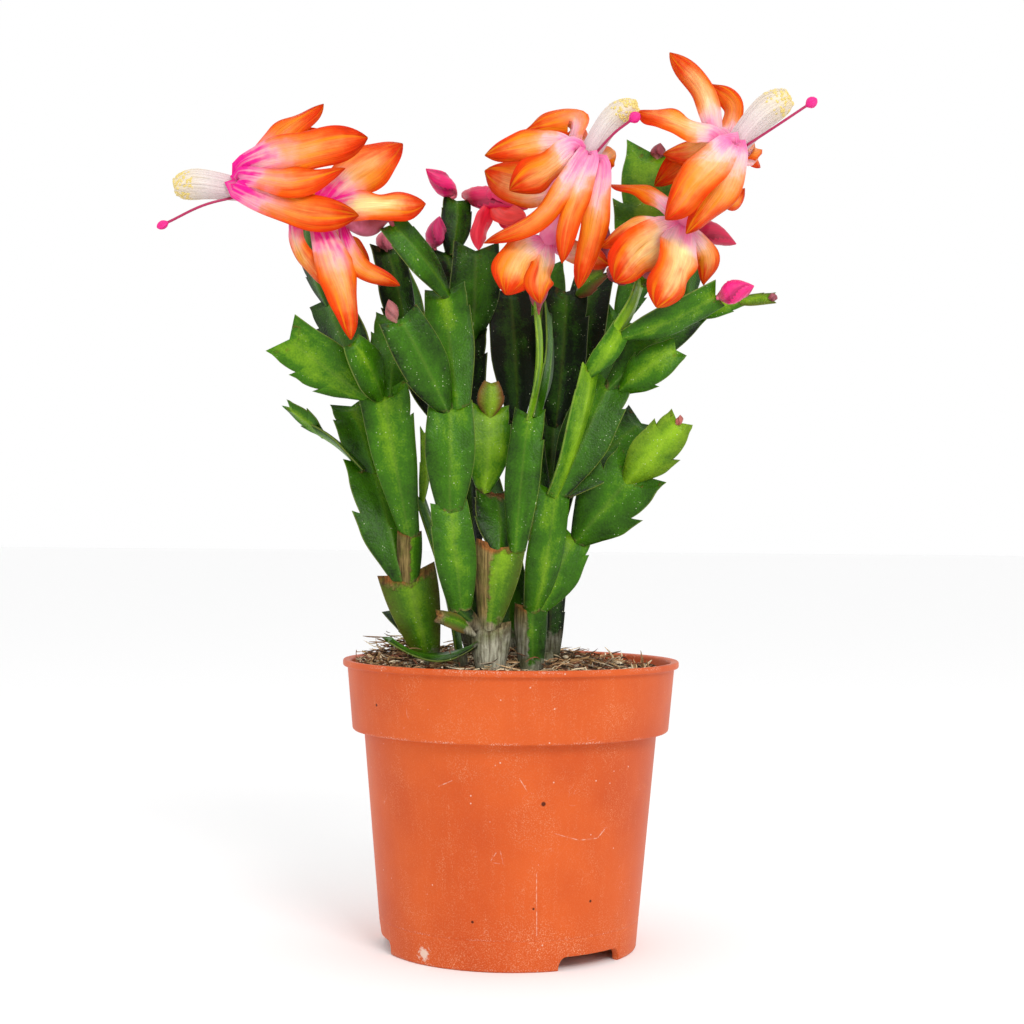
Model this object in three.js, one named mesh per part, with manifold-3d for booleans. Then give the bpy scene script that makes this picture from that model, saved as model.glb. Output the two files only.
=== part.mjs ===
// A Christmas cactus (Schlumbergera) in flower, in a moulded plastic nursery pot.
// Millimetres, +Z up. The origin is the middle of the pot's foot, on the surface it stands on, and the
// plant's show side faces -Y. Seven cuttings stand in the potting soil. Each is a branching chain of flat
// toothed segments, and blooms and buds sit on the tips of the last ones.

import * as THREE from "three";
import { mergeVertices } from "three/addons/utils/BufferGeometryUtils.js";
import Module from "manifold-3d";

const wasm = await Module();
wasm.setup();

// ---------------------------------------------------------------- driving dimensions

const CLEARANCE = 0.35; // between pieces that touch on the real plant

const POT = {
  rimRadius: 60,
  lipHeight: 2.4,
  bandTopRadius: 58.4,
  bandFootRadius: 56.4,
  bandFootHeight: 77,
  bodyTopRadius: 52.3,
  footRadius: 45.5,
  height: 102,
  wall: 1.4,
  softening: 0.8, // of the lip's and the band's corners
  floorHeight: 5,
  floorThickness: 1.6,
  skirt: 2.4, // thickness of the wall that the pot stands on
  standRadius: 13, // of the flat disc in the middle of the foot
  standFlare: 2,
  sides: 32,
};
const NOTCH = { count: 3, firstAngle: 39, width: 35, height: 4.6, sides: 6 }; // in the foot, in degrees
const DRAIN = { count: 6, radius: 4, circle: 30, sides: 8 };
const SOIL = { level: 97.5, rings: 4, sectors: 18, gap: CLEARANCE + 0.2, flatEdge: 57, fadeIn: 8 };
// Where the soil is heaped: how high, round which place, and how far that spreads each way.
const HEAPS = [
  { height: 5.5, x: -38, y: 12, spreadX: 24, spreadY: 26 },
  { height: 5, x: 12, y: 26, spreadX: 26, spreadY: 20 },
];
const ROOT = { radius: 2.6, taper: 0.7, depth: 12, neck: 4, room: 0.6, sides: 7 };

// A viewer stands this far in front of the pot's axis. Positions below are given as this viewer sees
// them against the pot's middle plane, with the depth apart, because that is how a plant is drawn.
const VIEWER = { distance: 642, height: 143.5 };

function seen(x, z, depth) {
  const scale = (VIEWER.distance + depth) / VIEWER.distance;
  return new THREE.Vector3(x * scale, depth, VIEWER.height - (VIEWER.height - z) * scale);
}

// ---------------------------------------------------------------- solids

// The closed slab between two grids of points, front[row][column] and back[row][column]. Both faces are
// split along the same diagonals, so a thin slab never crosses itself.
function slab(front, back) {
  const rows = front.length;
  const columns = front[0].length;
  const points = [...front.flat(), ...back.flat()];
  const at = (side, row, column) => side * rows * columns + row * columns + column;
  const faces = [];
  const quad = (a, b, c, d) => faces.push(a, b, c, a, c, d);
  for (let r = 0; r + 1 < rows; r++) {
    for (let c = 0; c + 1 < columns; c++) {
      quad(at(0, r, c), at(0, r, c + 1), at(0, r + 1, c + 1), at(0, r + 1, c));
      faces.push(at(1, r, c), at(1, r + 1, c + 1), at(1, r, c + 1));
      faces.push(at(1, r, c), at(1, r + 1, c), at(1, r + 1, c + 1));
    }
    const last = columns - 1;
    quad(at(1, r, 0), at(0, r, 0), at(0, r + 1, 0), at(1, r + 1, 0));
    quad(at(0, r, last), at(1, r, last), at(1, r + 1, last), at(0, r + 1, last));
  }
  for (let c = 0; c + 1 < columns; c++) {
    const tip = rows - 1;
    quad(at(1, 0, c), at(1, 0, c + 1), at(0, 0, c + 1), at(0, 0, c));
    quad(at(0, tip, c), at(0, tip, c + 1), at(1, tip, c + 1), at(1, tip, c));
  }
  return closedSolid(points, faces);
}

// The closed skin over rings of points, with a fan to the middle of each end ring.
function skin(rings) {
  const around = rings[0].length;
  const middle = (ring) =>
    ring.reduce((sum, p) => sum.add(p), new THREE.Vector3()).divideScalar(around);
  const points = [...rings.flat(), middle(rings[0]), middle(rings.at(-1))];
  const faces = [];
  const first = rings.length * around;
  for (let j = 0; j < around; j++) {
    const k = (j + 1) % around;
    for (let i = 0; i + 1 < rings.length; i++) {
      const a = i * around;
      const b = a + around;
      faces.push(a + j, a + k, b + k, a + j, b + k, b + j);
    }
    const end = (rings.length - 1) * around;
    faces.push(first, k, j, first + 1, end + j, end + k);
  }
  return closedSolid(points, faces);
}

// A solid of those points and triangles, turned to face outwards.
function closedSolid(points, faces) {
  const make = (order) =>
    new wasm.Manifold(
      new wasm.Mesh({
        numProp: 3,
        vertProperties: new Float32Array(points.flatMap((p) => p.toArray())),
        triVerts: new Uint32Array(order),
      }),
    );
  let volume = 0;
  for (let i = 0; i < faces.length; i += 3) {
    const [a, b, c] = [0, 1, 2].map((k) => points[faces[i + k]]);
    volume += a.dot(new THREE.Vector3().crossVectors(b, c));
  }
  return make(volume > 0 ? faces : faces.toReversed());
}

function solidOfGeometry(geometry) {
  const bare = geometry.index ? geometry.toNonIndexed() : geometry.clone();
  bare.deleteAttribute("normal");
  bare.deleteAttribute("uv");
  const merged = mergeVertices(bare, 1e-4);
  return new wasm.Manifold(
    new wasm.Mesh({
      numProp: 3,
      vertProperties: merged.attributes.position.array,
      triVerts: new Uint32Array(merged.index.array),
    }),
  );
}

// Joins solids into one body, and drops the scraps that no larger piece holds.
function joined(solids) {
  const all = solids.reduce((sum, s) => sum.add(s));
  return all.decompose().sort((a, b) => b.volume() - a.volume())[0];
}

function meshOf(name, solid, colour, roughness) {
  const made = solid.getMesh();
  const positions = new Float32Array(made.numVert * 3);
  for (let i = 0; i < made.numVert; i++) {
    const start = i * made.numProp;
    positions.set(made.vertProperties.subarray(start, start + 3), i * 3);
  }
  const geometry = new THREE.BufferGeometry();
  geometry.setAttribute("position", new THREE.BufferAttribute(positions, 3));
  geometry.setIndex(new THREE.BufferAttribute(new Uint32Array(made.triVerts), 1));
  geometry.computeVertexNormals();
  const material = new THREE.MeshStandardMaterial({ color: colour, roughness, metalness: 0 });
  const mesh = new THREE.Mesh(geometry, material);
  mesh.name = name;
  return mesh;
}

// Points at even steps of the smooth curve through these points.
function curveThrough(points, steps) {
  return new THREE.CatmullRomCurve3(points, false, "catmullrom", 0.5).getSpacedPoints(steps);
}

// A bar along a path: radiusAt(i, turn) is its radius at the path's point i, a part turn round it.
function barOf(path, sides, radiusAt) {
  const rings = path.map((point, i) => {
    const ahead = path[Math.min(i + 1, path.length - 1)];
    const behind = path[Math.max(i - 1, 0)];
    const along = new THREE.Vector3().subVectors(ahead, behind).normalize();
    const across = new THREE.Vector3(0.31, 0.87, 0.39).cross(along).normalize();
    const up = new THREE.Vector3().crossVectors(along, across);
    return Array.from({ length: sides }, (_, k) => {
      const turn = k / sides;
      const radius = radiusAt(i, turn);
      return point
        .clone()
        .addScaledVector(across, radius * Math.cos(2 * Math.PI * turn))
        .addScaledVector(up, radius * Math.sin(2 * Math.PI * turn));
    });
  });
  return skin(rings);
}

function bar(path, radii, sides) {
  return barOf(path, sides, (i) => radii[i]);
}

// The way a blade's flat side looks: 0 degrees is towards -Y and 90 towards +X, and lift tips it up.
function facing(degrees, lift = 0) {
  const a = THREE.MathUtils.degToRad(degrees);
  const e = THREE.MathUtils.degToRad(lift);
  return new THREE.Vector3(Math.sin(a) * Math.cos(e), -Math.cos(a) * Math.cos(e), Math.sin(e));
}

function squareTo(along, direction) {
  return direction.clone().addScaledVector(along, -direction.dot(along)).normalize();
}

// ---------------------------------------------------------------- cuttings

// A segment is a flat green blade with a thick midrib. Its margin widens from a narrow foot in lobes,
// each ending in a claw that points forwards, and the last two claws are the horns of its cut-off tip.
const BLADE = {
  slant: 0.3, // how far forwards a row of the blade runs for each millimetre outwards
  claw: 0.07, // how far a claw stands out and a notch cuts in, as shares of the half width
  horn: 1.5, // how far the last two claws reach past the tip
  edge: 0.42, // half thickness at the margin
  rib: 1.3, // half thickness at the midrib
  rightLobes: [0, 0.36, 0.68, 1],
  leftLobes: [0, 0.43, 0.75, 1],
  firstLobeSteps: [0.4, 1],
  lobeSteps: [0.08, 1],
};

// The outlines a segment grows in: its half width at the foot and at the tip as shares of the widest,
// and how far along it the widest place is. An old lower segment is a wedge, and a young one a barrel.
const FORMS = {
  leaf: { foot: 0.24, widest: 0.48, tip: 0.8 },
  wedge: { foot: 0.42, widest: 0.97, tip: 1 },
  barrel: { foot: 0.32, widest: 0.45, tip: 0.52 },
  stub: { foot: 0.72, widest: 0.7, tip: 0.95 },
};

// Rows of one margin: how far along the midrib each starts, and the half width's share there.
function marginRows(lobes, form, claw) {
  const shareAt = (u, lobeShare) => {
    const { foot, widest, tip } = FORMS[form];
    const swell =
      u < widest
        ? foot + (1 - foot) * Math.sin((Math.PI / 2) * (u / widest))
        : 1 - (1 - tip) * ((u - widest) / (1 - widest)) ** 2;
    return swell * (1 + BLADE.claw * claw * (2 * lobeShare - 1));
  };
  const rows = [[0, shareAt(0, 0.5)]];
  for (let k = 0; k + 1 < lobes.length; k++) {
    for (const step of k === 0 ? BLADE.firstLobeSteps : BLADE.lobeSteps) {
      const u = lobes[k] + (lobes[k + 1] - lobes[k]) * step;
      rows.push([u, shareAt(u, step)]);
    }
  }
  return rows;
}

function segment({ foot, tip, width, face, form = "leaf", lift = 0, bow = 2, claw = 1, rib = 1 }) {
  const length = foot.distanceTo(tip);
  const along = new THREE.Vector3().subVectors(tip, foot).normalize();
  const out = squareTo(along, facing(face, lift));
  const side = new THREE.Vector3().crossVectors(along, out);
  const right = marginRows(BLADE.rightLobes, form, claw);
  const left = marginRows(BLADE.leftLobes, form, claw);
  const place = (u, share, half) => {
    const v = (share * width) / 2;
    const horn = u === 1 ? BLADE.horn * claw * Math.abs(share) : 0;
    return foot
      .clone()
      .addScaledVector(along, u * length + BLADE.slant * Math.abs(v) + horn)
      .addScaledVector(side, v)
      .addScaledVector(out, bow * 4 * u * (1 - u) + half);
  };
  const surface = (sign) =>
    right.map(([u, share], i) => {
      const [leftU, leftShare] = left[i];
      const ribU = (u + leftU) / 2;
      const ribHalf = rib * BLADE.rib * (1.15 - 0.3 * ribU);
      return [
        place(leftU, -leftShare, sign * BLADE.edge),
        place(ribU, 0, sign * ribHalf),
        place(u, share, sign * BLADE.edge),
      ];
    });
  const ribEnd = place(1, 0, 0);
  const horns = [place(1, -left.at(-1)[1], 0), place(1, right.at(-1)[1], 0)];
  return {
    solid: slab(surface(1), surface(-1)),
    along,
    // A place on the tip edge, from -1 at the left horn to 1 at the right one, sunk a little into it.
    seat: (share, sink = 1.2 + 0.8 * Math.abs(share)) =>
      ribEnd.clone().lerp(horns[share < 0 ? 0 : 1], 0.8 * Math.abs(share)).addScaledVector(along, -sink),
  };
}

// Each row is one segment: its name, what it grows from, where along that one's tip edge, then its own
// tip as the viewer sees it (x, z) with its depth, its width, the way it faces, and any extras.
const CUTTINGS = {
  cutting_left: {
    root: [-29, -10],
    segments: [
      ["l0", "root", 0, -37, 130, -14, 20, 8, { form: "wedge", claw: 0.3, rib: 1.4, bow: 1 }],
      ["l1", "l0", 0, -36.8, 146, -15, 9, 5, { form: "stub", claw: 0, rib: 1.5, bow: 0 }],
      ["l2", "l1", 0.1, -46, 195, -22, 17, -6, { form: "wedge", claw: 0.7 }],
      ["l3", "l2", -0.8, -78.5, 214.5, -32, 17.5, -20, { claw: 1.3 }],
      ["l4", "l2", -0.25, -57.5, 214, -36, 14, 20, { form: "barrel", lift: 20 }],
      ["l5", "l2", 0.2, -42.5, 221.5, -12, 16, 5],
      ["s1", "l2", -0.5, -66, 229, -4, 19, -35],
      ["s2", "s1", -0.1, -74, 255, 2, 13, -50],
      ["lb", "l0", -0.35, -50, 168.5, -3, 20, 18],
      ["lb1", "lb", -0.4, -68.5, 181.8, 2, 11, 20, { lift: -76, bow: -1.2 }],
      ["lb2", "lb1", 0, -79, 190.5, 0, 8, 20, { form: "barrel", lift: -64, bow: -0.8, claw: 2.2, rib: 0.8 }],
      ["lb3", "lb", 0, -57.5, 190.5, 2, 16, 15],
      ["ls", [-31.5, 106, -10.5], 0, -41.5, 118.5, -3, 10, 30, { claw: 0.5 }],
    ],
  },
  cutting_middle: {
    root: [-7.5, -22],
    segments: [
      ["g0", "root", 0, -7, 113, -24, 13.5, 4, { form: "stub", claw: 0.2, rib: 1.9, bow: 0 }],
      ["gl", "g0", -0.9, -19, 119, -27, 8, 10, { form: "stub", claw: 0, rib: 1.5, bow: 0 }],
      ["c0", "gl", 0, -22.5, 155, -29, 14.5, 10, { claw: 0.7 }],
      ["c1", "c0", 0, -22.5, 191, -27, 17, 0, { claw: 0.6 }],
      ["f1", "c1", -0.2, -40, 222, -38, 17, 12, { claw: 0.6 }],
      ["c3", "c1", 0.5, -24.5, 232, -15, 16.5, -8],
      ["a7", "c3", 0.1, -43.5, 256.5, -24, 12, 50, { lift: -15, claw: 0.4 }],
      ["w0", "g0", -0.2, -4.3, 140.5, -26, 17, -5, { form: "wedge", claw: 0.2, rib: 1.8, bow: 0 }],
      ["n0", "w0", -0.1, -6, 160, -13, 17.5, 20, { claw: 0.6 }],
      ["c2", "n0", -0.75, -8.5, 189.5, -14, 15.5, 10, { claw: 0.8 }],
      ["c2y", "c2", 0, -8, 200, -15, 9.5, 5, { form: "barrel", claw: 0.3, bow: 1 }],
      ["d2", "w0", 0.85, 5.8, 188, -25, 12, -12, { claw: 0.5 }],
      ["d3", "d2", 0, 8.3, 225, -24, 13, 82],
      ["d3b", "d2", 0.5, 12.3, 225, -12, 12, 76],
      ["limp", [-12, 107, -25], 0, -43, 108.5, -34, 11, 0, { lift: 82, bow: -5.6, claw: 0.3, rib: 0.8 }],
      ["dry", [-13, 110, -26], 0, -26, 116.5, -31, 7, 20, { lift: 40, claw: 0.3, rib: 0.6 }],
    ],
  },
  cutting_right: {
    root: [7, -14],
    segments: [
      ["r0", "root", 0, 7, 119.5, -15, 12, 15, { form: "stub", claw: 0.2, rib: 1.7, bow: 0 }],
      ["r1", "r0", 0.1, 14.5, 161, -18, 14, 25, { claw: 0.6 }],
      ["r1b", "r0", 0.7, 21, 145, -8, 16, 10],
      ["e0", "r1b", 0.4, 41.5, 166.5, -14, 22, -8, { claw: 1.2 }],
      ["f0", "e0", 0, 58, 186, -24, 15.5, 12, { form: "barrel", claw: 2 }],
      ["g1", "r1", 0.75, 44.5, 185.5, 2, 19, -25, { claw: 1.2 }],
      ["h0", "r1", -0.1, 26.5, 205, -24, 14, 62, { claw: 0.5 }],
      ["hf", "r1", 0.5, 34, 199.5, -10, 18, -10],
      ["i1", "h0", 0, 37.5, 219.5, -25, 9, 30, { form: "stub", claw: 0.4 }],
      ["j1", [33.6, 217.3, -26], 0, 44.5, 237.5, -16, 10, 78],
      ["i2", "i1", 0.6, 71, 232.5, -26, 13, 10, { lift: -40, claw: 0.8 }],
      ["i4", "hf", 0, 62, 227, -2, 15, -10, { lift: -10 }],
      ["i5", "hf", 0.7, 57, 212.5, -16, 13.5, 5, { form: "barrel", lift: 15, claw: 1.4 }],
      ["i3", "i4", 0.2, 80, 231, -6, 8, 0, { form: "barrel", lift: 10, bow: 1 }],
      ["i3b", "i3", 0, 90.5, 232, -8, 5, 0, { lift: 30, bow: 0, claw: 1.2, rib: 0.7 }],
      ["m2", "j1", 0.9, 50, 281, 6, 22, -8],
      ["m3", "i4", -0.3, 61, 254, 8, 13, 30, { claw: 0.5 }],
    ],
  },
  cutting_shoot: {
    root: [-18, -5],
    segments: [
      ["t0", "root", 0, -33, 158, -7, 12, 80],
      ["t1", "t0", 0, -31.8, 181, -9, 5, 50, { claw: 1.5, rib: 0.7, bow: 1 }],
    ],
  },
  cutting_back_left: {
    root: [-12, 12],
    segments: [
      ["bl0", "root", 0, -15, 138, 12, 14, -20, { form: "stub", claw: 0.4 }],
      ["bl1", "bl0", 0, -18.5, 180, 12, 16, 35],
      ["bl2", "bl1", 0.2, -16, 216, 10, 17, -30],
      ["a8", "bl2", 0.2, -14, 246, 2, 17.5, 8, { claw: 1.4 }],
      ["p0", "bl2", -0.5, -25, 246, 14, 14, 35],
      ["p1", "p0", 0.5, -21, 265, 20, 12, 20, { claw: 0.5 }],
      ["q0", "bl1", -0.6, -36, 212, 12, 17, 30],
      ["q1", "q0", -0.6, -46, 247, 5, 15, 40],
    ],
  },
  cutting_back_right: {
    root: [13, 9],
    segments: [
      ["br0", "root", 0, 13, 140, 10, 13, 20, { form: "stub", claw: 0.4 }],
      ["br1", "br0", 0, 15, 186, 16, 17, -12],
      ["br2", "br1", 0, 18.5, 232, 12, 18, 12],
      ["k0", "br1", 0.7, 28.5, 238, 30, 17, -18],
      ["k1", "br2", 0.7, 31, 240, 8, 9, 10, { form: "barrel", lift: 30 }],
      ["x0", "br0", -0.7, 3, 186, 6, 14, 15],
      ["x1", "x0", -0.4, -1.5, 231, 15, 17, 16],
    ],
  },
  cutting_back: {
    root: [1, 28],
    segments: [
      ["bb0", "root", 0, -3, 134, 31, 16, 165, { form: "stub", claw: 0.4 }],
      ["bb1", "bb0", -0.4, -14, 174, 36, 16, 130],
      ["bb2", "bb1", -0.4, -33, 208, 43, 17, 150],
      ["bb4", "bb2", 0, -42, 240, 52, 14, 125, { claw: 1.4 }],
      ["bd1", "bb0", 0.6, 14, 172, 41, 16, 215],
      ["bd2", "bd1", 0.5, 38, 222, 44, 18, 210],
      ["bd3", "bd1", -0.4, 10, 240, 50, 19, 172],
      ["bd4", "bd2", 0.1, 50, 250, 50, 14, 215, { claw: 1.4 }],
    ],
  },
};

const grown = {}; // every segment by name, for what sits on its tip

function cutting({ root, segments }) {
  const [rootX, rootY] = root;
  const soilTop = soilHeight(rootX, rootY);
  const foot = new THREE.Vector3(rootX, rootY, soilTop + CLEARANCE * 2);
  const solids = [];
  const rootFoot = new THREE.Vector3(rootX, rootY, soilTop - ROOT.depth);
  const neck = foot.clone().setZ(soilTop + ROOT.neck);
  solids.push(bar([rootFoot, neck], [ROOT.radius * ROOT.taper, ROOT.radius], ROOT.sides));
  for (const [name, on, share, x, z, depth, width, face, extras = {}] of segments) {
    const from = on === "root" ? foot : Array.isArray(on) ? seen(...on) : grown[on].seat(share);
    const tip = seen(x, z, depth);
    grown[name] = segment({ foot: from, tip, width, face, ...extras });
    solids.push(grown[name].solid);
  }
  return joined(solids);
}

// ---------------------------------------------------------------- pot and soil

// Radius of the pot's outside at a height: the tapering body, and above it the wider band.
function potRadius(z) {
  const p = POT;
  if (z < p.bandFootHeight) {
    return p.footRadius + ((p.bodyTopRadius - p.footRadius) * z) / p.bandFootHeight;
  }
  const up = (z - p.bandFootHeight) / (p.height - p.lipHeight - p.bandFootHeight);
  return p.bandFootRadius + (p.bandTopRadius - p.bandFootRadius) * up;
}

// The pot is a thin shell turned from this outline: a flat disc in the middle of the foot, a raised floor
// round it, a foot skirt, a tapering body, a wider band that steps out under the rim, and a rolled lip.
function pot() {
  const p = POT;
  const outline = [
    [0, 0],
    [p.standRadius, 0],
    [p.standRadius + p.standFlare, p.floorHeight],
    [p.footRadius - p.skirt, p.floorHeight],
    [p.footRadius - p.skirt, 0],
    [p.footRadius, 0],
    [p.bodyTopRadius, p.bandFootHeight],
    [p.bandFootRadius - p.softening, p.bandFootHeight],
    [p.bandFootRadius, p.bandFootHeight + p.softening],
    [p.bandTopRadius, p.height - p.lipHeight],
    [p.rimRadius - p.softening / 2, p.height - p.lipHeight],
    [p.rimRadius, p.height - p.softening],
    [p.rimRadius - p.softening, p.height],
    [p.bandTopRadius - p.wall, p.height - p.softening / 2],
    [p.bandFootRadius - p.wall, p.bandFootHeight + p.wall + p.softening],
    [p.bodyTopRadius - p.wall, p.bandFootHeight + p.wall],
    [potRadius(p.floorHeight) - p.wall, p.floorHeight + p.floorThickness],
    [p.standRadius + p.standFlare - p.wall, p.floorHeight + p.floorThickness],
    [p.standRadius - p.wall, p.floorThickness],
    [0, p.floorThickness],
  ];
  const lathe = new THREE.LatheGeometry(outline.map(([r, z]) => new THREE.Vector2(r, z)), p.sides);
  lathe.rotateX(Math.PI / 2);
  let shell = solidOfGeometry(lathe);
  for (let k = 0; k < NOTCH.count; k++) shell = shell.subtract(notchCutter(k));
  for (let k = 0; k < DRAIN.count; k++) {
    const angle = (2 * Math.PI * k) / DRAIN.count;
    const depth = p.floorThickness * 4;
    const drill = new THREE.CylinderGeometry(DRAIN.radius, DRAIN.radius, depth, DRAIN.sides);
    drill.rotateX(Math.PI / 2);
    drill.translate(DRAIN.circle * Math.cos(angle), DRAIN.circle * Math.sin(angle), p.floorHeight);
    shell = shell.subtract(solidOfGeometry(drill));
  }
  return shell;
}

// What is cut from the skirt at its k-th notch: a sector of a ring, from below the foot up to its roof.
function notchCutter(k) {
  const middle = THREE.MathUtils.degToRad(NOTCH.firstAngle + (360 / NOTCH.count) * k - 90);
  const half = THREE.MathUtils.degToRad(NOTCH.width / 2);
  const inner = POT.footRadius - 2 * POT.skirt;
  const outer = POT.footRadius + POT.skirt;
  const sector = new THREE.Shape();
  sector.absarc(0, 0, outer, middle - half, middle + half, false);
  sector.absarc(0, 0, inner, middle + half, middle - half, true);
  const below = 1;
  const cutter = new THREE.ExtrudeGeometry(sector, {
    depth: NOTCH.height + below,
    bevelEnabled: false,
    curveSegments: NOTCH.sides,
  });
  cutter.translate(0, 0, -below);
  return solidOfGeometry(cutter);
}

// The soil's surface: heaped behind the stems and at the left, crumbly, and level at the pot's wall.
function soilHeight(x, y) {
  const heaped = HEAPS.map(
    (h) => h.height * Math.exp(-(((x - h.x) / h.spreadX) ** 2) - ((y - h.y) / h.spreadY) ** 2),
  );
  const crumbs = 0.7 * Math.sin(0.31 * x + 1.3) * Math.cos(0.27 * y) + 0.4 * Math.sin(0.83 * x - 0.71 * y);
  const inwards = (SOIL.flatEdge - Math.hypot(x, y)) / SOIL.fadeIn;
  return SOIL.level + (heaped[0] + heaped[1] + crumbs) * THREE.MathUtils.clamp(inwards, 0, 1);
}

// The soil fills the pot down to its floor, with a plain hole for each cutting's root.
function soil() {
  const p = POT;
  const inside = (z) => potRadius(z) - p.wall - SOIL.gap;
  const ring = (radius, z) =>
    Array.from({ length: SOIL.sectors }, (_, k) => {
      const angle = (2 * Math.PI * k) / SOIL.sectors;
      const point = new THREE.Vector3(radius * Math.cos(angle), radius * Math.sin(angle), 0);
      return point.setZ(z ?? soilHeight(point.x, point.y));
    });
  const bottom = p.floorThickness + SOIL.gap;
  const floor = p.floorHeight + bottom;
  const shoulder = p.bandFootHeight - SOIL.gap; // the body is left here and the wider band begins
  const ledge = p.bandFootHeight + 3 * p.wall;
  const top = inside(SOIL.level);
  const rings = [
    ring(p.standRadius - p.wall - 2 * SOIL.gap, bottom),
    ring(p.standRadius + p.standFlare - p.wall - 2 * SOIL.gap, floor),
    ring(inside(floor), floor),
    ring(inside(shoulder), shoulder),
    ring(inside(shoulder), ledge),
    ring(inside(ledge), ledge + p.softening),
    ring(top),
  ];
  for (let k = SOIL.rings - 1; k > 0; k--) rings.push(ring((top * k) / SOIL.rings));
  let ground = skin(rings);
  for (const { root } of Object.values(CUTTINGS)) {
    const [x, y] = root;
    const snug = ROOT.radius + CLEARANCE;
    const drill = new THREE.CylinderGeometry(snug + ROOT.room, snug, ROOT.depth * 2, ROOT.sides);
    drill.rotateX(Math.PI / 2);
    drill.translate(x, y, soilHeight(x, y) - CLEARANCE);
    ground = ground.subtract(solidOfGeometry(drill));
  }
  return ground;
}

// ---------------------------------------------------------------- blooms

// A tepal is a thin pointed blade that runs along a curve, cupped towards its back.
const TEPAL = {
  edge: 0.34, // half thickness at the margin
  middle: 0.6, // half thickness along the middle
  cup: 1.2, // how far the margins lie behind the middle
  steps: 25,
  rows: [
    [0, 0.42],
    [0.28, 0.74],
    [0.6, 1],
    [0.84, 0.72],
    [1, 0.12],
  ],
};

function tepal(points, width, face, lift = 0) {
  const path = curveThrough(points, TEPAL.steps);
  const look = facing(face, lift);
  const grid = (sign) =>
    TEPAL.rows.map(([u, share]) => {
      const i = Math.round(u * TEPAL.steps);
      const ahead = path[Math.min(i + 1, TEPAL.steps)];
      const behind = path[Math.max(i - 1, 0)];
      const along = new THREE.Vector3().subVectors(ahead, behind).normalize();
      const out = squareTo(along, look);
      const side = new THREE.Vector3().crossVectors(along, out);
      return [-1, 0, 1].map((across) => {
        const half = across ? TEPAL.edge : TEPAL.middle;
        return path[i]
          .clone()
          .addScaledVector(side, (across * share * width) / 2)
          .addScaledVector(out, sign * half - TEPAL.cup * share * across * across);
      });
    });
  return slab(grid(1), grid(-1));
}

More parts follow.
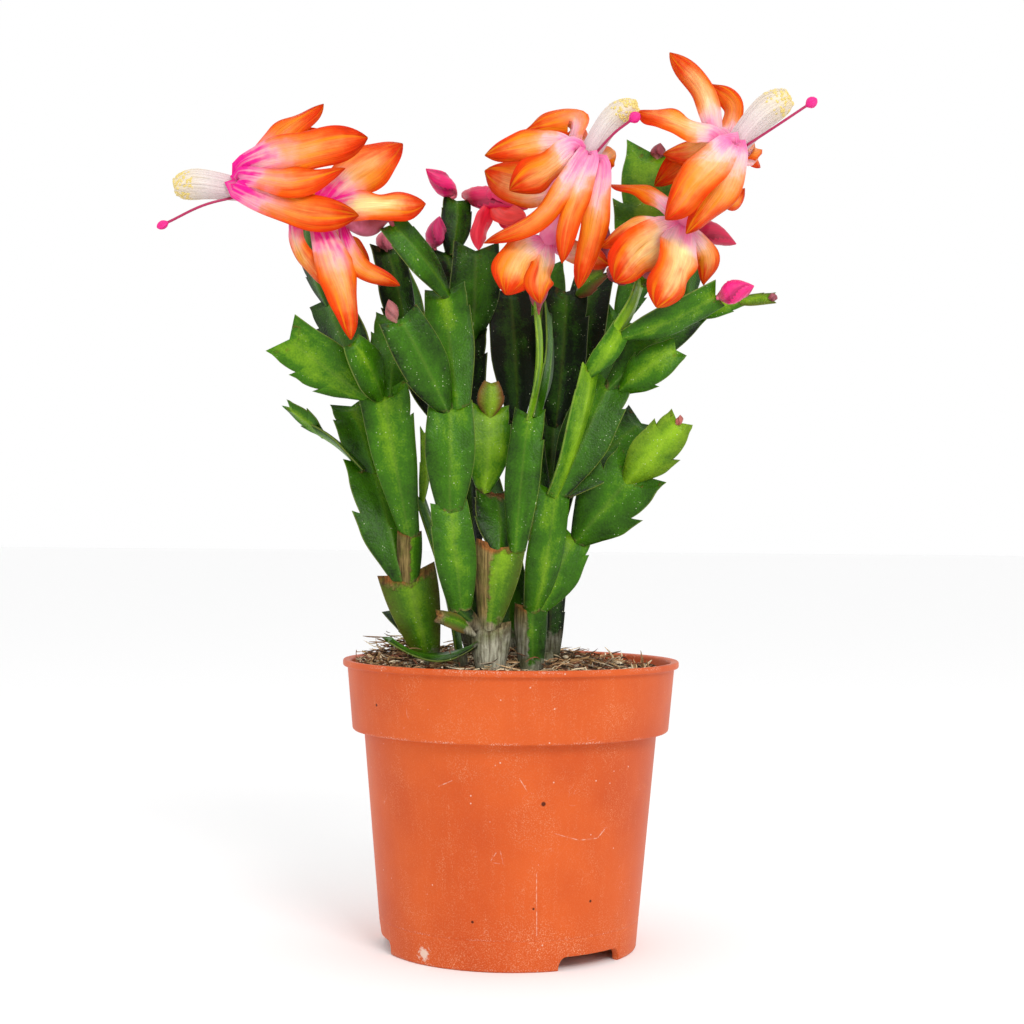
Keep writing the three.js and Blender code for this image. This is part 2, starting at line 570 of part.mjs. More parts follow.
// Each bloom: the segment tip that it sits on, its axis (three points, from the ovary to the mouth), two
// points each of its stamens and its style, the stamens' thickness, and its tepals. A tepal is how far up
// the tube it parts from it, a middle point, its tip, its width and the way it faces. All points are as
// the viewer sees them, with the depth third.
const BLOOMS = {
  bloom_left: {
    on: ["a7", 0],
    axis: [[-53, 256.5, -24], [-74, 262.5, -25], [-97, 270, -26]],
    stamens: [[-111, 271.2, -27], [-122, 270.2, -28]],
    style: [[-111, 264, -31], [-124.5, 257.5, -33]],
    thickness: 5.2,
    tepals: [
      [1, [-84, 289.5, -22], [-69, 300.5, -18], 9.5, 20, 50],
      [1, [-76, 283.5, -36], [-53, 288.5, -34], 15, -8],
      [1, [-80, 273.5, -40], [-61, 277.5, -38], 10, 0],
      [1, [-76, 261.5, -38], [-56, 260.5, -36], 12, 0],
      [0.5, [-58, 276, -20], [-40.5, 286.5, -16], 18, -10],
      [0.5, [-52, 264.5, -33], [-32, 265, -28], 12, -5],
      [0.38, [-61.5, 236, -38], [-58.5, 216, -42], 13.5, 8],
      [0.25, [-56, 243, -31], [-41, 235.5, -30], 7, 10],
      [0.63, [-77.5, 247, -31], [-67.5, 235, -31], 8.5, -30],
      [1, [-82, 283, -11], [-62, 288, -3], 13, 150, 30],
      [1, [-80, 268, -7], [-58, 268, -1], 13, 180],
      [0.5, [-62, 254, -11], [-52, 243, -4], 10, 165],
    ],
  },
  bloom_middle: {
    on: ["d3", 0],
    axis: [[8.4, 231, -25], [12, 254, -26], [25, 281, -31]],
    stamens: [[34, 295.5, -34], [43, 301, -38]],
    style: [[34.5, 290, -38], [41, 295.3, -41]],
    thickness: 4,
    tepals: [
      [1, [20, 297, -26], [3, 291.5, -21], 10, -25, 50],
      [1, [8.5, 288, -34], [-11, 282.5, -30], 11, -10, 15],
      [1, [11, 277.5, -39], [-2, 270, -37], 12, 0],
      [0.75, [0, 272.5, -16], [-11, 277, -12], 15, -5],
      [1, [10, 261.5, -44], [-11, 251, -40], 8, 0],
      [1, [20, 262, -45], [17, 244, -43], 8.5, 5],
      [1, [28.5, 256, -36], [23, 235, -36], 9.5, 15],
      [1, [35.5, 283, -24], [33, 273, -20], 9, 60],
      [0.5, [3, 246.5, -37], [-3, 232.5, -38], 16, -5],
      [0.38, [10, 240, -36], [9.5, 229.5, -37], 11, 5],
      [0.38, [27, 247, -20], [34, 243.5, -16], 9, 10],
      [1, [20, 292, -12], [6, 284, -6], 12, 160],
      [1, [20, 268, -10], [14, 254, -4], 12, 175],
    ],
  },
  bloom_right: {
    on: ["j1", -0.6],
    axis: [[49, 242, -20.5], [60, 258, -22], [77, 285.5, -29]],
    stamens: [[88.5, 298, -32], [98, 304.5, -35]],
    style: [[94, 294.3, -38], [104.3, 301.3, -40]],
    thickness: 5.4,
    tepals: [
      [1, [67, 306, -27], [55, 320, -22], 9, -20],
      [1, [78, 301, -17], [69.5, 309, -12], 7.5, -10],
      [1, [60, 294.5, -32], [43.5, 299, -28], 11, -8, 20],
      [1, [62, 285, -16], [53, 283.5, -10], 11, -10],
      [1, [66, 275.5, -42], [54, 260, -40], 14.5, -5],
      [1, [74.5, 271, -42], [61.5, 255, -40], 13, 15],
      [1, [86, 287, -27], [88, 279, -20], 9, 40],
      [0.75, [79, 267, -16], [82.5, 271.5, -12], 7, 10],
      [0.38, [46, 249, -36], [36, 237.5, -36], 17, -5],
      [0.38, [58, 242.5, -37], [51, 228.5, -38], 17.5, 10],
      [0.38, [41.5, 258, -32], [30.5, 250, -30], 8, -10, 30],
      [0.5, [70, 247, -20], [68, 236.5, -16], 8, 25],
      [0.5, [50, 270.5, -17], [34, 273, -10], 8, -5, 65],
      [1, [72, 270, -12], [62, 256, -6], 13, 170],
      [1, [64, 282, -10], [50, 272, -6], 12, 165],
    ],
  },
};
const TUBE = { foot: 2.2, waist: 3.4, mouth: 5.6, sides: 7, steps: 5, lip: 3.2 };
const OVARY = { radii: [0.7, 1.2, 3.1, 3.5, 2.8, 2.3], stalk: 3 };
const STAMENS = { foot: 3.3, sides: 8, steps: 5, sunk: 5 };
const STYLE = { radius: 0.6, sides: 5, steps: 5, sunk: 4 };
const STIGMA = [[1, 1.4], [1.2, 1.9], [1.3, 1.6], [0.9, 0.5]]; // steps along it, and its radius there
const PETAL_COLOUR = 0xf2671d;

function bloom(name, { on, axis, stamens, style, thickness, tepals }) {
  const tube = curveThrough(axis.map((p) => seen(...p)), TUBE.steps);
  const mouth = tube.at(-1);
  const along = new THREE.Vector3().subVectors(mouth, tube.at(-2)).normalize();
  const radii = tube.map((_, i) => {
    const u = i / TUBE.steps;
    return u < 0.5
      ? TUBE.foot + (TUBE.waist - TUBE.foot) * Math.sin(Math.PI * u)
      : TUBE.waist + (TUBE.mouth - TUBE.waist) * (2 * u - 1) ** 1.5;
  });
  // The ovary is the round knob on a short stalk between the segment and the tube.
  const [bearer, share] = on;
  const stalkFoot = grown[bearer].seat(share, -CLEARANCE);
  const stalkHead = stalkFoot.clone().addScaledVector(grown[bearer].along, OVARY.stalk);
  const knob = curveThrough([stalkFoot, stalkHead, tube[0], tube[1]], OVARY.radii.length - 1);
  const solids = [bar(tube, radii, TUBE.sides), bar(knob, OVARY.radii, TUBE.sides)];
  // A tepal that parts at the mouth first bends over the lip.
  for (const [share, through, tip, width, face, lift] of tepals) {
    const i = Math.round(share * TUBE.steps);
    const middle = seen(...through);
    const outwards = squareTo(along, new THREE.Vector3().subVectors(middle, tube[i]));
    const path = [tube[i].clone().addScaledVector(outwards, radii[i] * 0.55)];
    if (share === 1) {
      const lip = tube[i].clone().addScaledVector(outwards, radii[i] + TUBE.lip * 0.6);
      path.push(lip.addScaledVector(along, TUBE.lip * 0.5));
    }
    path.push(middle, seen(...tip));
    solids.push(tepal(path, width, face, lift));
  }
  const inside = mouth.clone().addScaledVector(along, -STAMENS.sunk);
  const column = curveThrough([inside, ...stamens.map((p) => seen(...p))], STAMENS.steps);
  const columnRadii = column.map((_, i) => {
    const u = i / STAMENS.steps;
    return u === 1 ? thickness * 0.5 : STAMENS.foot + (thickness - STAMENS.foot) * Math.min(1, 1.4 * u);
  });
  const styleFoot = mouth.clone().lerp(seen(...style[0]), 0.15).addScaledVector(along, -STYLE.sunk);
  const thread = curveThrough([styleFoot, ...style.map((p) => seen(...p))], STYLE.steps);
  const threadRadii = thread.map(() => STYLE.radius);
  const ahead = new THREE.Vector3().subVectors(thread.at(-1), thread.at(-2)).normalize();
  for (const [step, radius] of STIGMA) {
    thread.push(thread.at(-1).clone().addScaledVector(ahead, step));
    threadRadii.push(radius);
  }
  // Both stand in the tube with a little room round them, and the style passes beside the stamens.
  const room = (path, pathRadii, sides) =>
    bar(
      [path[0].clone().addScaledVector(along, -CLEARANCE), ...path.slice(1)],
      pathRadii.map((r) => r + CLEARANCE + 0.1),
      sides,
    );
  const columnSolid = bar(column, columnRadii, STAMENS.sides);
  const columnRoom = room(column, columnRadii, STAMENS.sides);
  const threadSolid = bar(thread, threadRadii, STYLE.sides).subtract(columnRoom);
  const flower = joined(solids).subtract(columnRoom).subtract(room(thread, threadRadii, STYLE.sides));
  return [
    meshOf(name + "_tepals", joined([flower]), PETAL_COLOUR, 0.45),
    meshOf(name + "_stamens", columnSolid, 0xf7ecdc, 0.6),
    meshOf(name + "_style", joined([threadSolid]), 0xd81b7a, 0.45),
  ];
}

// ---------------------------------------------------------------- buds

// A bud is a spindle of tepals rolled round each other on a round ovary and a short stalk. The edge of
// each outer tepal stands up as a slanting ridge.
const BUD = {
  sides: 6,
  ridges: 3,
  ridge: 0.22,
  stalk: 2.4,
  steps: 50,
  rows: [[0, 0.16], [0.16, 0.52], [0.42, 1], [0.7, 0.8], [0.9, 0.36], [1, 0.06]],
};

function budPath(bearer, share, tip) {
  const foot = bearer.seat(share, -CLEARANCE);
  const head = foot.clone().addScaledVector(bearer.along, BUD.stalk);
  return curveThrough([foot, head, tip], BUD.steps);
}

function bud(path, radius) {
  const points = BUD.rows.map(([u]) => path[Math.round(u * BUD.steps)]);
  return barOf(points, BUD.sides, (i, turn) => {
    const [u, swell] = BUD.rows[i];
    return radius * swell * (1 - BUD.ridge * ((turn * BUD.ridges + 1.2 * u) % 1));
  });
}

// Each bud: the segment tip that it sits on, the place along it, its own tip, radius and colour.
const BUDS = {
  bud_tall: ["p1", -0.55, -32, 277.5, 12, 4.2, 0xd62a78],
  bud_low: ["p0", -0.7, -27, 260.5, 6, 4, 0xc43a6c],
  bud_right: ["i2", 0.3, 86, 236.5, -30, 4.4, 0xd83680],
  bud_far_right: ["i3b", 0, 94.5, 232, -9, 1.8, 0x8c3f4c],
  bud_behind: ["m3", 1, 79.5, 251.5, 13, 4.4, 0xb3203f],
  bud_brown: ["f1", -0.3, -45, 230.5, -40, 2.6, 0xa8676a],
  bud_ball: ["q1", 0, -44.5, 255.5, 0, 4, 0xc06478],
  bud_top: ["m2", 0.1, 52, 287.5, 5, 3, 0x8c2f3c],
  bud_twin: ["k1", 1, 40, 236.5, 2, 3.4, 0xa83a4c],
  bud_between: ["k0", 0.3, 33, 259, 22, 3.4, 0x8c1030],
  bud_seed: ["f0", 0, 60, 190, -26, 1.4, 0xa85a50],
  bud_back: ["bd4", 0, 48, 264, 54, 3.6, 0xcc2f70],
  bud_back_left: ["bb4", 0, -40, 257, 55, 4, 0xd23478],
};

function budMesh(name, [on, share, x, z, depth, radius, colour]) {
  return meshOf(name, bud(budPath(grown[on], share, seen(x, z, depth)), radius), colour, 0.45);
}

// The half-open bloom is a bud whose outer tepals have begun to fold back.
const OPENING = {
  on: ["p1", 1],
  tip: [4.5, 263.5, -3],
  radius: 4.8,
  tepals: [
    [0.5, [-12, 256, 2], [-13, 248.5, 0], 7, 0],
    [0.3, [-7, 271, 6], [2, 266.5, -2], 9, -10, 30],
    [0.5, [-4, 261.5, 0], [4, 261, -5], 8, 0],
    [0.5, [-4, 262, 14], [-1, 256, 15], 8, 175],
  ],
};

function openingBloom() {
  const [on, share] = OPENING.on;
  const path = budPath(grown[on], share, seen(...OPENING.tip));
  const solids = [bud(path, OPENING.radius)];
  for (const [from, through, tip, width, face, lift] of OPENING.tepals) {
    const root = path[Math.round(from * BUD.steps)];
    solids.push(tepal([root, seen(...through), seen(...tip)], width, face, lift));
  }
  return joined(solids);
}

// ---------------------------------------------------------------- the object

const plant = new THREE.Group();
plant.add(meshOf("pot", pot(), 0xd9622f, 0.5));
plant.add(meshOf("soil", soil(), 0x5b4a3a, 0.95));
for (const [name, described] of Object.entries(CUTTINGS)) {
  plant.add(meshOf(name, cutting(described), 0x3f7a2a, 0.45));
}
for (const [name, described] of Object.entries(BLOOMS)) plant.add(...bloom(name, described));
for (const [name, described] of Object.entries(BUDS)) plant.add(budMesh(name, described));
plant.add(meshOf("opening_bloom", openingBloom(), 0xd8406c, 0.45));

export default plant;
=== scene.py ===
# A Christmas cactus in flower, in a moulded nursery pot.
# Sizes are in millimetres and are turned to metres where a mesh is made. The plant's show side faces -Y.

import math

import bpy
import numpy as np
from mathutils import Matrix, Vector


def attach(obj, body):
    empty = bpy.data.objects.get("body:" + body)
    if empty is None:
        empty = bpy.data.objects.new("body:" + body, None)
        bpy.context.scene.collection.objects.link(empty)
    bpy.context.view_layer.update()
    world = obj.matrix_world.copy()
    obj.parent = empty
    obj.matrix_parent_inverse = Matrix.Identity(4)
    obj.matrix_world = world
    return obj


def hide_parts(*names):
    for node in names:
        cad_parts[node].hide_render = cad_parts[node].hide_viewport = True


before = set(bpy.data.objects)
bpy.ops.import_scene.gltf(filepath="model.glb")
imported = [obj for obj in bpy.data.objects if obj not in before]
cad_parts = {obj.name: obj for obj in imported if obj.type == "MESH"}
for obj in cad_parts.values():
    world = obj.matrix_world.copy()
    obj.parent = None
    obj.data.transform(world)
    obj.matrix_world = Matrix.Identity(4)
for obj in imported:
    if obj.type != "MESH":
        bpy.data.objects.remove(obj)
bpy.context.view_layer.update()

# ---------------------------------------------------------------- pot
# The nursery pot is one thin shell of terracotta-coloured polypropylene, injection moulded, with a wide
# band under a rolled rim, a raised floor with drain holes, and a foot skirt with three notches.
# It is scuffed and dusty from the nursery bench, with lime spots where water dried.

MM = 0.001
POT = dict(
    rim_radius=60, lip_height=2.4, band_top_radius=58.4, band_foot_radius=56.4, band_foot_height=77,
    body_top_radius=52.3, foot_radius=45.5, height=102, wall=1.4, softening=0.8, floor_height=5,
    floor_thickness=1.6, skirt=2.4, stand_radius=13, stand_flare=2,
)
POT_COLUMNS = 192
NOTCH = dict(count=3, first_angle=39, width=35, height=4.6, corner=4)  # angles in degrees
DRAIN = dict(count=6, radius=4, circle=30, overrun=2)
PARTING_LINE = dict(height=10.5, depth=0.16, reach=0.35)  # where the mould's two halves met


def rounded(outline, radius, steps=4):
    """The outline with each inner corner replaced by a curve that starts and ends radius away from it,
    or at two fifths of a shorter side. The curve is the parabola whose tangents meet in the corner."""
    outline = np.array(outline, float)
    points = [outline[0]]
    for before, corner, after in zip(outline, outline[1:], outline[2:]):
        reach = [min(radius, 0.4 * np.linalg.norm(end - corner)) for end in (before, after)]
        start = corner + (before - corner) * reach[0] / np.linalg.norm(before - corner)
        end = corner + (after - corner) * reach[1] / np.linalg.norm(after - corner)
        for t in np.linspace(0, 1, steps):
            points.append(start * (1 - t) ** 2 + corner * 2 * t * (1 - t) + end * t ** 2)
    points.append(outline[-1])
    return np.array(points)


def skin(rings, traits=None):
    """A closed body over rings of points, an array of rings x points x 3. Neighbouring rings are joined
    by quads, and each end ring by a fan to its own middle. If the signed volume is negative, the faces
    are turned round. traits holds values for each point of the rings, as rings x points x width."""
    rows, around = rings.shape[:2]
    middles = rings[[0, -1]].mean(1)
    points = np.concatenate([rings.reshape(-1, 3), middles])
    here = np.arange(rows * around).reshape(rows, around)
    beside = np.roll(here, -1, 1)
    quads = np.stack([here[:-1], beside[:-1], beside[1:], here[1:]], -1).reshape(-1, 4)
    first, last = rows * around, rows * around + 1
    fans = np.concatenate([
        np.stack([np.full(around, first), beside[0], here[0]], -1),
        np.stack([np.full(around, last), here[-1], beside[-1]], -1),
    ])
    halves = np.concatenate([quads[:, [0, 1, 2]], quads[:, [0, 2, 3]], fans])
    a, b, c = (points[halves[:, k]] for k in range(3))
    if np.einsum("ij,ij->", a, np.cross(b, c)) < 0:
        quads, fans = quads[:, ::-1], fans[:, ::-1]
    values = {
        name: np.concatenate([v.reshape(-1, v.shape[-1]), v[[0, -1]].mean(1)])
        for name, v in (traits or {}).items()
    }
    return dict(points=points, quads=quads, fans=fans, traits=values)


def mesh_of(name, bodies, crease=50):
    """One mesh of closed bodies. Their points, in millimetres, are written in metres, and their traits
    as attributes of the points. Edges sharper than crease degrees are shaded as edges."""
    starts = np.cumsum([0] + [len(b["points"]) for b in bodies])
    points = np.concatenate([b["points"] for b in bodies]) * MM
    quads = np.concatenate([b["quads"] + s for b, s in zip(bodies, starts)])
    fans = np.concatenate([b["fans"] + s for b, s in zip(bodies, starts)])
    mesh = bpy.data.meshes.new(name)
    mesh.vertices.add(len(points))
    mesh.vertices.foreach_set("co", points.astype(np.float32).ravel())
    mesh.loops.add(quads.size + fans.size)
    corners = np.concatenate([quads.ravel(), fans.ravel()])
    mesh.loops.foreach_set("vertex_index", corners.astype(np.int32))
    sizes = np.repeat([4, 3], [len(quads), len(fans)])
    mesh.polygons.add(len(sizes))
    mesh.polygons.foreach_set("loop_start", (np.cumsum(sizes) - sizes).astype(np.int32))
    mesh.polygons.foreach_set("use_smooth", np.ones(len(sizes), bool))
    for trait in bodies[0]["traits"]:
        values = np.concatenate([b["traits"][trait] for b in bodies]).astype(np.float32)
        kind, field = ("FLOAT_COLOR", "color") if values.shape[1] == 4 else ("FLOAT_VECTOR", "vector")
        mesh.attributes.new(trait, kind, "POINT").data.foreach_set(field, values.ravel())
    mesh.update(calc_edges=True)
    mesh.validate()
    mesh.set_sharp_from_angle(angle=math.radians(crease))
    return mesh


def add_piece(mesh, material, slot, *nodes):
    """Puts the mesh in the scene as a piece of the object that stands for these CAD nodes."""
    made = bpy.data.objects.new(mesh.name, mesh)
    bpy.context.scene.collection.objects.link(made)
    made.data.materials.append(material)
    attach(made, "root")
    if nodes:
        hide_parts(*nodes)
    return made


def linear(colour):
    """An sRGB hex colour as linear red, green, blue and full opacity."""
    shares = np.array([int(colour[k:k + 2], 16) / 255 for k in (1, 3, 5)])
    light = np.where(shares <= 0.04045, shares / 12.92, ((shares + 0.055) / 1.055) ** 2.4)
    return (*light.tolist(), 1.0)


def bare_material(name):
    material = bpy.data.materials.new(name)
    material.use_nodes = True
    material.node_tree.nodes.clear()
    return material


def add_node(material, kind, inputs=(), **settings):
    """Adds a shader node with its settings. Each of its inputs is a value, or an output to link."""
    made = material.node_tree.nodes.new("ShaderNode" + kind)
    for name, value in settings.items():
        setattr(made, name, value)
    for socket, value in dict(inputs).items():
        if isinstance(value, bpy.types.NodeSocket):
            material.node_tree.links.new(value, made.inputs[socket])
        else:
            made.inputs[socket].default_value = value
    return made


def pot_radius(z):
    """Radius of the pot's outside at a height: the tapering body, and above it the wider band."""
    up = np.clip(z / POT["band_foot_height"], 0, 1)
    body = POT["foot_radius"] + (POT["body_top_radius"] - POT["foot_radius"]) * up
    band_height = POT["height"] - POT["lip_height"] - POT["band_foot_height"]
    over = (z - POT["band_foot_height"]) / band_height
    band = POT["band_foot_radius"] + (POT["band_top_radius"] - POT["band_foot_radius"]) * over
    return np.where(np.asarray(z) < POT["band_foot_height"], body, band)


def pot_rings():
    """Rings of the pot: its outline, as radius and height, carried round the axis. On the skirt, heights
    are squeezed up towards the floor inside each notch, whose roof ends in quarter circles."""
    p = POT
    line, soft = PARTING_LINE, p["softening"]
    wall_at = [(line["height"] + k * line["reach"], k == 0) for k in (-1, 0, 1)]
    outline = rounded(
        [
            (p["stand_radius"], 0),
            (p["stand_radius"] + p["stand_flare"], p["floor_height"]),
            (p["foot_radius"] - p["skirt"], p["floor_height"]),
            (p["foot_radius"] - p["skirt"], 0),
            (p["foot_radius"], 0),
            *[(pot_radius(z) - line["depth"] * sunk, z) for z, sunk in wall_at],
            (p["body_top_radius"], p["band_foot_height"]),
            (p["band_foot_radius"], p["band_foot_height"]),
            (p["band_top_radius"], p["height"] - p["lip_height"]),
            (p["rim_radius"], p["height"] - p["lip_height"]),
            (p["rim_radius"], p["height"]),
            (p["band_top_radius"] - p["wall"], p["height"] - soft / 2),
            (p["band_foot_radius"] - p["wall"], p["band_foot_height"] + p["wall"]),
            (p["body_top_radius"] - p["wall"], p["band_foot_height"] + p["wall"]),
            (pot_radius(p["floor_height"]) - p["wall"], p["floor_height"] + p["floor_thickness"]),
            (p["stand_radius"] + p["stand_flare"] - p["wall"], p["floor_height"] + p["floor_thickness"]),
            (p["stand_radius"] - p["wall"], p["floor_thickness"]),
        ],
        soft,
    )
    half = NOTCH["width"] / 2
    middles = NOTCH["first_angle"] - 90 + 360 / NOTCH["count"] * np.arange(NOTCH["count"])
    corner = NOTCH["corner"] * (1 - np.cos(np.linspace(0, math.pi / 2, 7)))
    edges = [m + side * (half - c) for m in middles for side in (-1, 1) for c in corner]
    spaced = np.arange(POT_COLUMNS) * 360 / POT_COLUMNS - 90
    away = np.abs((spaced[:, None] - np.array(edges)[None] + 180) % 360 - 180).min(1)
    angles = np.sort(np.concatenate([spaced[away > 0.5], edges]) % 360)
    inside = half - np.abs((angles[:, None] - middles[None] + 180) % 360 - 180).min(1)
    share = np.clip(inside / NOTCH["corner"], 0, 1)
    roof = NOTCH["height"] * np.sqrt(1 - (1 - share) ** 2)
    radius, z = outline[:, :1], np.repeat(outline[:, 1:], len(angles), 1)
    skirt = (z < p["floor_height"]) & (radius > p["stand_radius"] + p["stand_flare"] + soft)
    squeezed = roof + z * (p["floor_height"] - roof) / p["floor_height"]
    z = np.where(skirt, squeezed, z)
    turn = np.radians(angles)
    return np.stack([radius * np.cos(turn), radius * np.sin(turn), z], -1)


def drill(x, y, radius, low, high, sides=32):
    """A closed cylinder from low to high, standing on x, y."""
    turn = np.arange(sides) * 2 * math.pi / sides
    ring = np.stack([x + radius * np.cos(turn), y + radius * np.sin(turn), 0 * turn], -1)
    return skin(np.stack([ring + (0, 0, low), ring + (0, 0, high)]))


# Moulded polypropylene: satin, a little waxy, orange with a faint slow mottle. What the eye gets on it is
# handling: fine dust, thicker at the foot, pale scuffs on every edge, hairline scratches, and lime spots.
PLASTIC_DEEP, PLASTIC_LIT = "#c04f22", "#cf5c27"
DUST, LIME, PEAT_SPOT = "#dd9a72", "#e2d2c2", "#3c1a10"
LIME_SPOT = dict(at=(-28.8, -35.7, 4.2), radius=2.6, ragged=7, fade=1.1)
SPLASHES = dict(at=(33, -38, 63), radius=13)  # where small lime specks lie close together
PEAT_SPOTS = [((11.2, -49.3, 57.1), 0.95), ((-45.5, -35.0, 88.1), 0.6), ((27.5, -38.8, 23.0), 0.6),
              ((-12.1, -45.4, 17.0), 0.6), ((8.2, -46.7, 21.8), 0.5), ((-43.4, -25.0, 58.0), 0.5)]
SCRATCHES_AND_SEAM_HIGHLIGHT = [((-4.2, 41.0), (-6.2, 37.9)), ((-5.6, 37.4), (-2.9, 37.1)), ((-1.9, 36.6), (-3.1, 41.9)),
             ((14.6, 47.2), (23.4, 44.3)), ((23.4, 44.3), (29.7, 44.4)), ((29.7, 44.4), (32.8, 47.9)),
             ((9.1, 34), (9.4, 12)), ((-24, 62), (-19, 64.5)), ((3, 66), (6, 61))]  # x and z of both ends
SCRATCH = dict(fade=0.5, core=0.04, edge=0.2)  # how far each end fades, and half the width
# Height, half width and strength of each scuffed ring.
SCUFFED_EDGES = [(10.9, 0.45, 0.7), (77.4, 0.7, 0.85), (101.2, 0.9, 0.5), (0.6, 0.8, 0.6)]
plastic = bare_material("moulded_polypropylene")
place = add_node(plastic, "TexCoord").outputs["Object"]
height = add_node(plastic, "SeparateXYZ", {0: place})
# The mottle is a noise with waves of 40 mm.
cloudy = add_node(plastic, "TexNoise", {"Vector": place, "Scale": 24, "Detail": 4, "Roughness": 0.55})
tone = add_node(plastic, "MapRange", {0: cloudy.outputs[0], 1: 0.35, 2: 0.65})
colour = add_node(
    plastic, "Mix", {0: tone.outputs[0], 6: linear(PLASTIC_DEEP), 7: linear(PLASTIC_LIT)}, data_type="RGBA",
).outputs[2]
# Dust is a fine grain (0.4 mm) that lies thicker in patches (20 mm) and towards the foot.
grain = add_node(plastic, "TexNoise", {"Vector": place, "Scale": 2400, "Detail": 2})
patches = add_node(plastic, "TexNoise", {"Vector": place, "Scale": 60, "Detail": 4, "Distortion": 0.6})
grain = add_node(plastic, "MapRange", {0: grain.outputs[0], 1: 0.5, 2: 0.72})
patches = add_node(plastic, "MapRange", {0: patches.outputs[0], 1: 0.5, 2: 0.75, 3: 0.1, 4: 0.6})
foot = add_node(plastic, "MapRange", {0: height.outputs[2], 1: 0.002, 2: 0.022, 3: 0.45, 4: 0})
# Where water ran down it left faint upright runs, 2 mm apart and some 40 mm long.
runs = add_node(plastic, "Mapping", {"Vector": place, "Scale": (480, 480, 24)})
runs = add_node(plastic, "TexNoise", {"Vector": runs.outputs[0], "Scale": 1, "Detail": 3})
runs = add_node(plastic, "MapRange", {0: runs.outputs[0], 1: 0.5, 2: 0.7, 3: 0, 4: 0.28})
for more in (foot, runs):
    patches = add_node(plastic, "Math", {0: patches.outputs[0], 1: more.outputs[0]}, operation="ADD")
dusty = add_node(plastic, "Math", {0: grain.outputs[0], 1: patches.outputs[0]}, operation="MULTIPLY")
colour = add_node(
    plastic, "Mix", {0: dusty.outputs[0], 6: colour, 7: linear(DUST)}, data_type="RGBA",
).outputs[2]
# Fine rubbed hairs are the contour lines of a noise (7 mm), kept only where another (10 mm) is high.
contour = add_node(plastic, "TexNoise", {"Vector": place, "Scale": 150, "Detail": 1, "Distortion": 1.2})
contour = add_node(plastic, "Math", {0: contour.outputs[0], 1: 0.5}, operation="SUBTRACT")
contour = add_node(plastic, "Math", {0: contour.outputs[0]}, operation="ABSOLUTE")
contour = add_node(plastic, "MapRange", {0: contour.outputs[0], 1: 0.0, 2: 0.004, 3: 0.3, 4: 0})
kept = add_node(plastic, "TexNoise", {"Vector": place, "Scale": 95, "Detail": 3})
worn = add_node(plastic, "MapRange", {0: kept.outputs[0], 1: 0.6, 2: 0.68})
marks = [add_node(plastic, "Math", {0: contour.outputs[0], 1: worn.outputs[0]}, operation="MULTIPLY")]
# Each scuffed edge is a ring that fades out from its height, broken up by the noise and the grain.
broken = add_node(plastic, "MapRange", {0: kept.outputs[0], 1: 0.46, 2: 0.6})
for level, reach, strength in SCUFFED_EDGES:
    off = add_node(plastic, "Math", {0: height.outputs[2], 1: level * MM}, operation="SUBTRACT")
    off = add_node(plastic, "Math", {0: off.outputs[0]}, operation="ABSOLUTE")
    ring = add_node(plastic, "MapRange", {0: off.outputs[0], 1: 0, 2: reach * MM, 3: strength, 4: 0})
    for share in (broken, grain):
        ring = add_node(plastic, "Math", {0: ring.outputs[0], 1: share.outputs[0]}, operation="MULTIPLY")
    marks.append(ring)
# Each scratch is a straight line on the front: near its line, between its ends, and in front. Flecks
# of 1.4 mm break it up. The upright line at x 9 is the mould's seam: its pale line is a painted highlight
# along the seam.
front = add_node(plastic, "Math", {0: height.outputs[1], 1: 0}, operation="LESS_THAN")
fleck = add_node(plastic, "TexNoise", {"Vector": place, "Scale": 700, "Detail": 2})
fleck = add_node(plastic, "MapRange", {0: fleck.outputs[0], 1: 0.42, 2: 0.66, 3: 0.1, 4: 0.9})
for (ax, az), (bx, bz) in SCRATCHES_AND_SEAM_HIGHLIGHT:
    size = math.hypot(bx - ax, bz - az)
    way = ((bx - ax) / size, 0, (bz - az) / size)
    middle = ((ax + bx) / 2 * MM, 0, (az + bz) / 2 * MM)
    rel = add_node(plastic, "VectorMath", {0: place, 1: middle}, operation="SUBTRACT").outputs[0]
    line = front
    lengthwise = (way, size / 2 - SCRATCH["fade"], size / 2)
    crosswise = ((-way[2], 0, way[0]), SCRATCH["core"], SCRATCH["edge"])
    for ray, inner, outer in (lengthwise, crosswise):
        far = add_node(plastic, "VectorMath", {0: rel, 1: ray}, operation="DOT_PRODUCT")
        far = add_node(plastic, "Math", {0: far.outputs["Value"]}, operation="ABSOLUTE")
        near = add_node(plastic, "MapRange", {0: far.outputs[0], 1: inner * MM, 2: outer * MM, 3: 0.8, 4: 0})
        line = add_node(plastic, "Math", {0: line.outputs[0], 1: near.outputs[0]}, operation="MULTIPLY")
    marks.append(
        add_node(plastic, "Math", {0: line.outputs[0], 1: fleck.outputs[0]}, operation="MULTIPLY"),
    )
# Lime specks are round spots, half a millimetre wide, in cells of 1.6 mm. A few lie anywhere, and many
# where water splashed.
splash = add_node(
    plastic, "VectorMath", {0: place, 1: [k * MM for k in SPLASHES["at"]]}, operation="DISTANCE",
)
rare = add_node(plastic, "MapRange", {
    0: splash.outputs["Value"], 1: 0, 2: SPLASHES["radius"] * MM, 3: 0.78, 4: 0.982,
})
cells = add_node(plastic, "TexVoronoi", {"Vector": place, "Scale": 620})
speck = add_node(plastic, "MapRange", {0: cells.outputs["Distance"], 1: 0.06, 2: 0.22, 3: 0.75, 4: 0})
chosen = add_node(plastic, "SeparateColor", {0: cells.outputs["Color"]})
chosen = add_node(plastic, "Math", {0: chosen.outputs[0], 1: rare.outputs[0]}, operation="GREATER_THAN")
marks.append(add_node(plastic, "Math", {0: speck.outputs[0], 1: chosen.outputs[0]}, operation="MULTIPLY"))
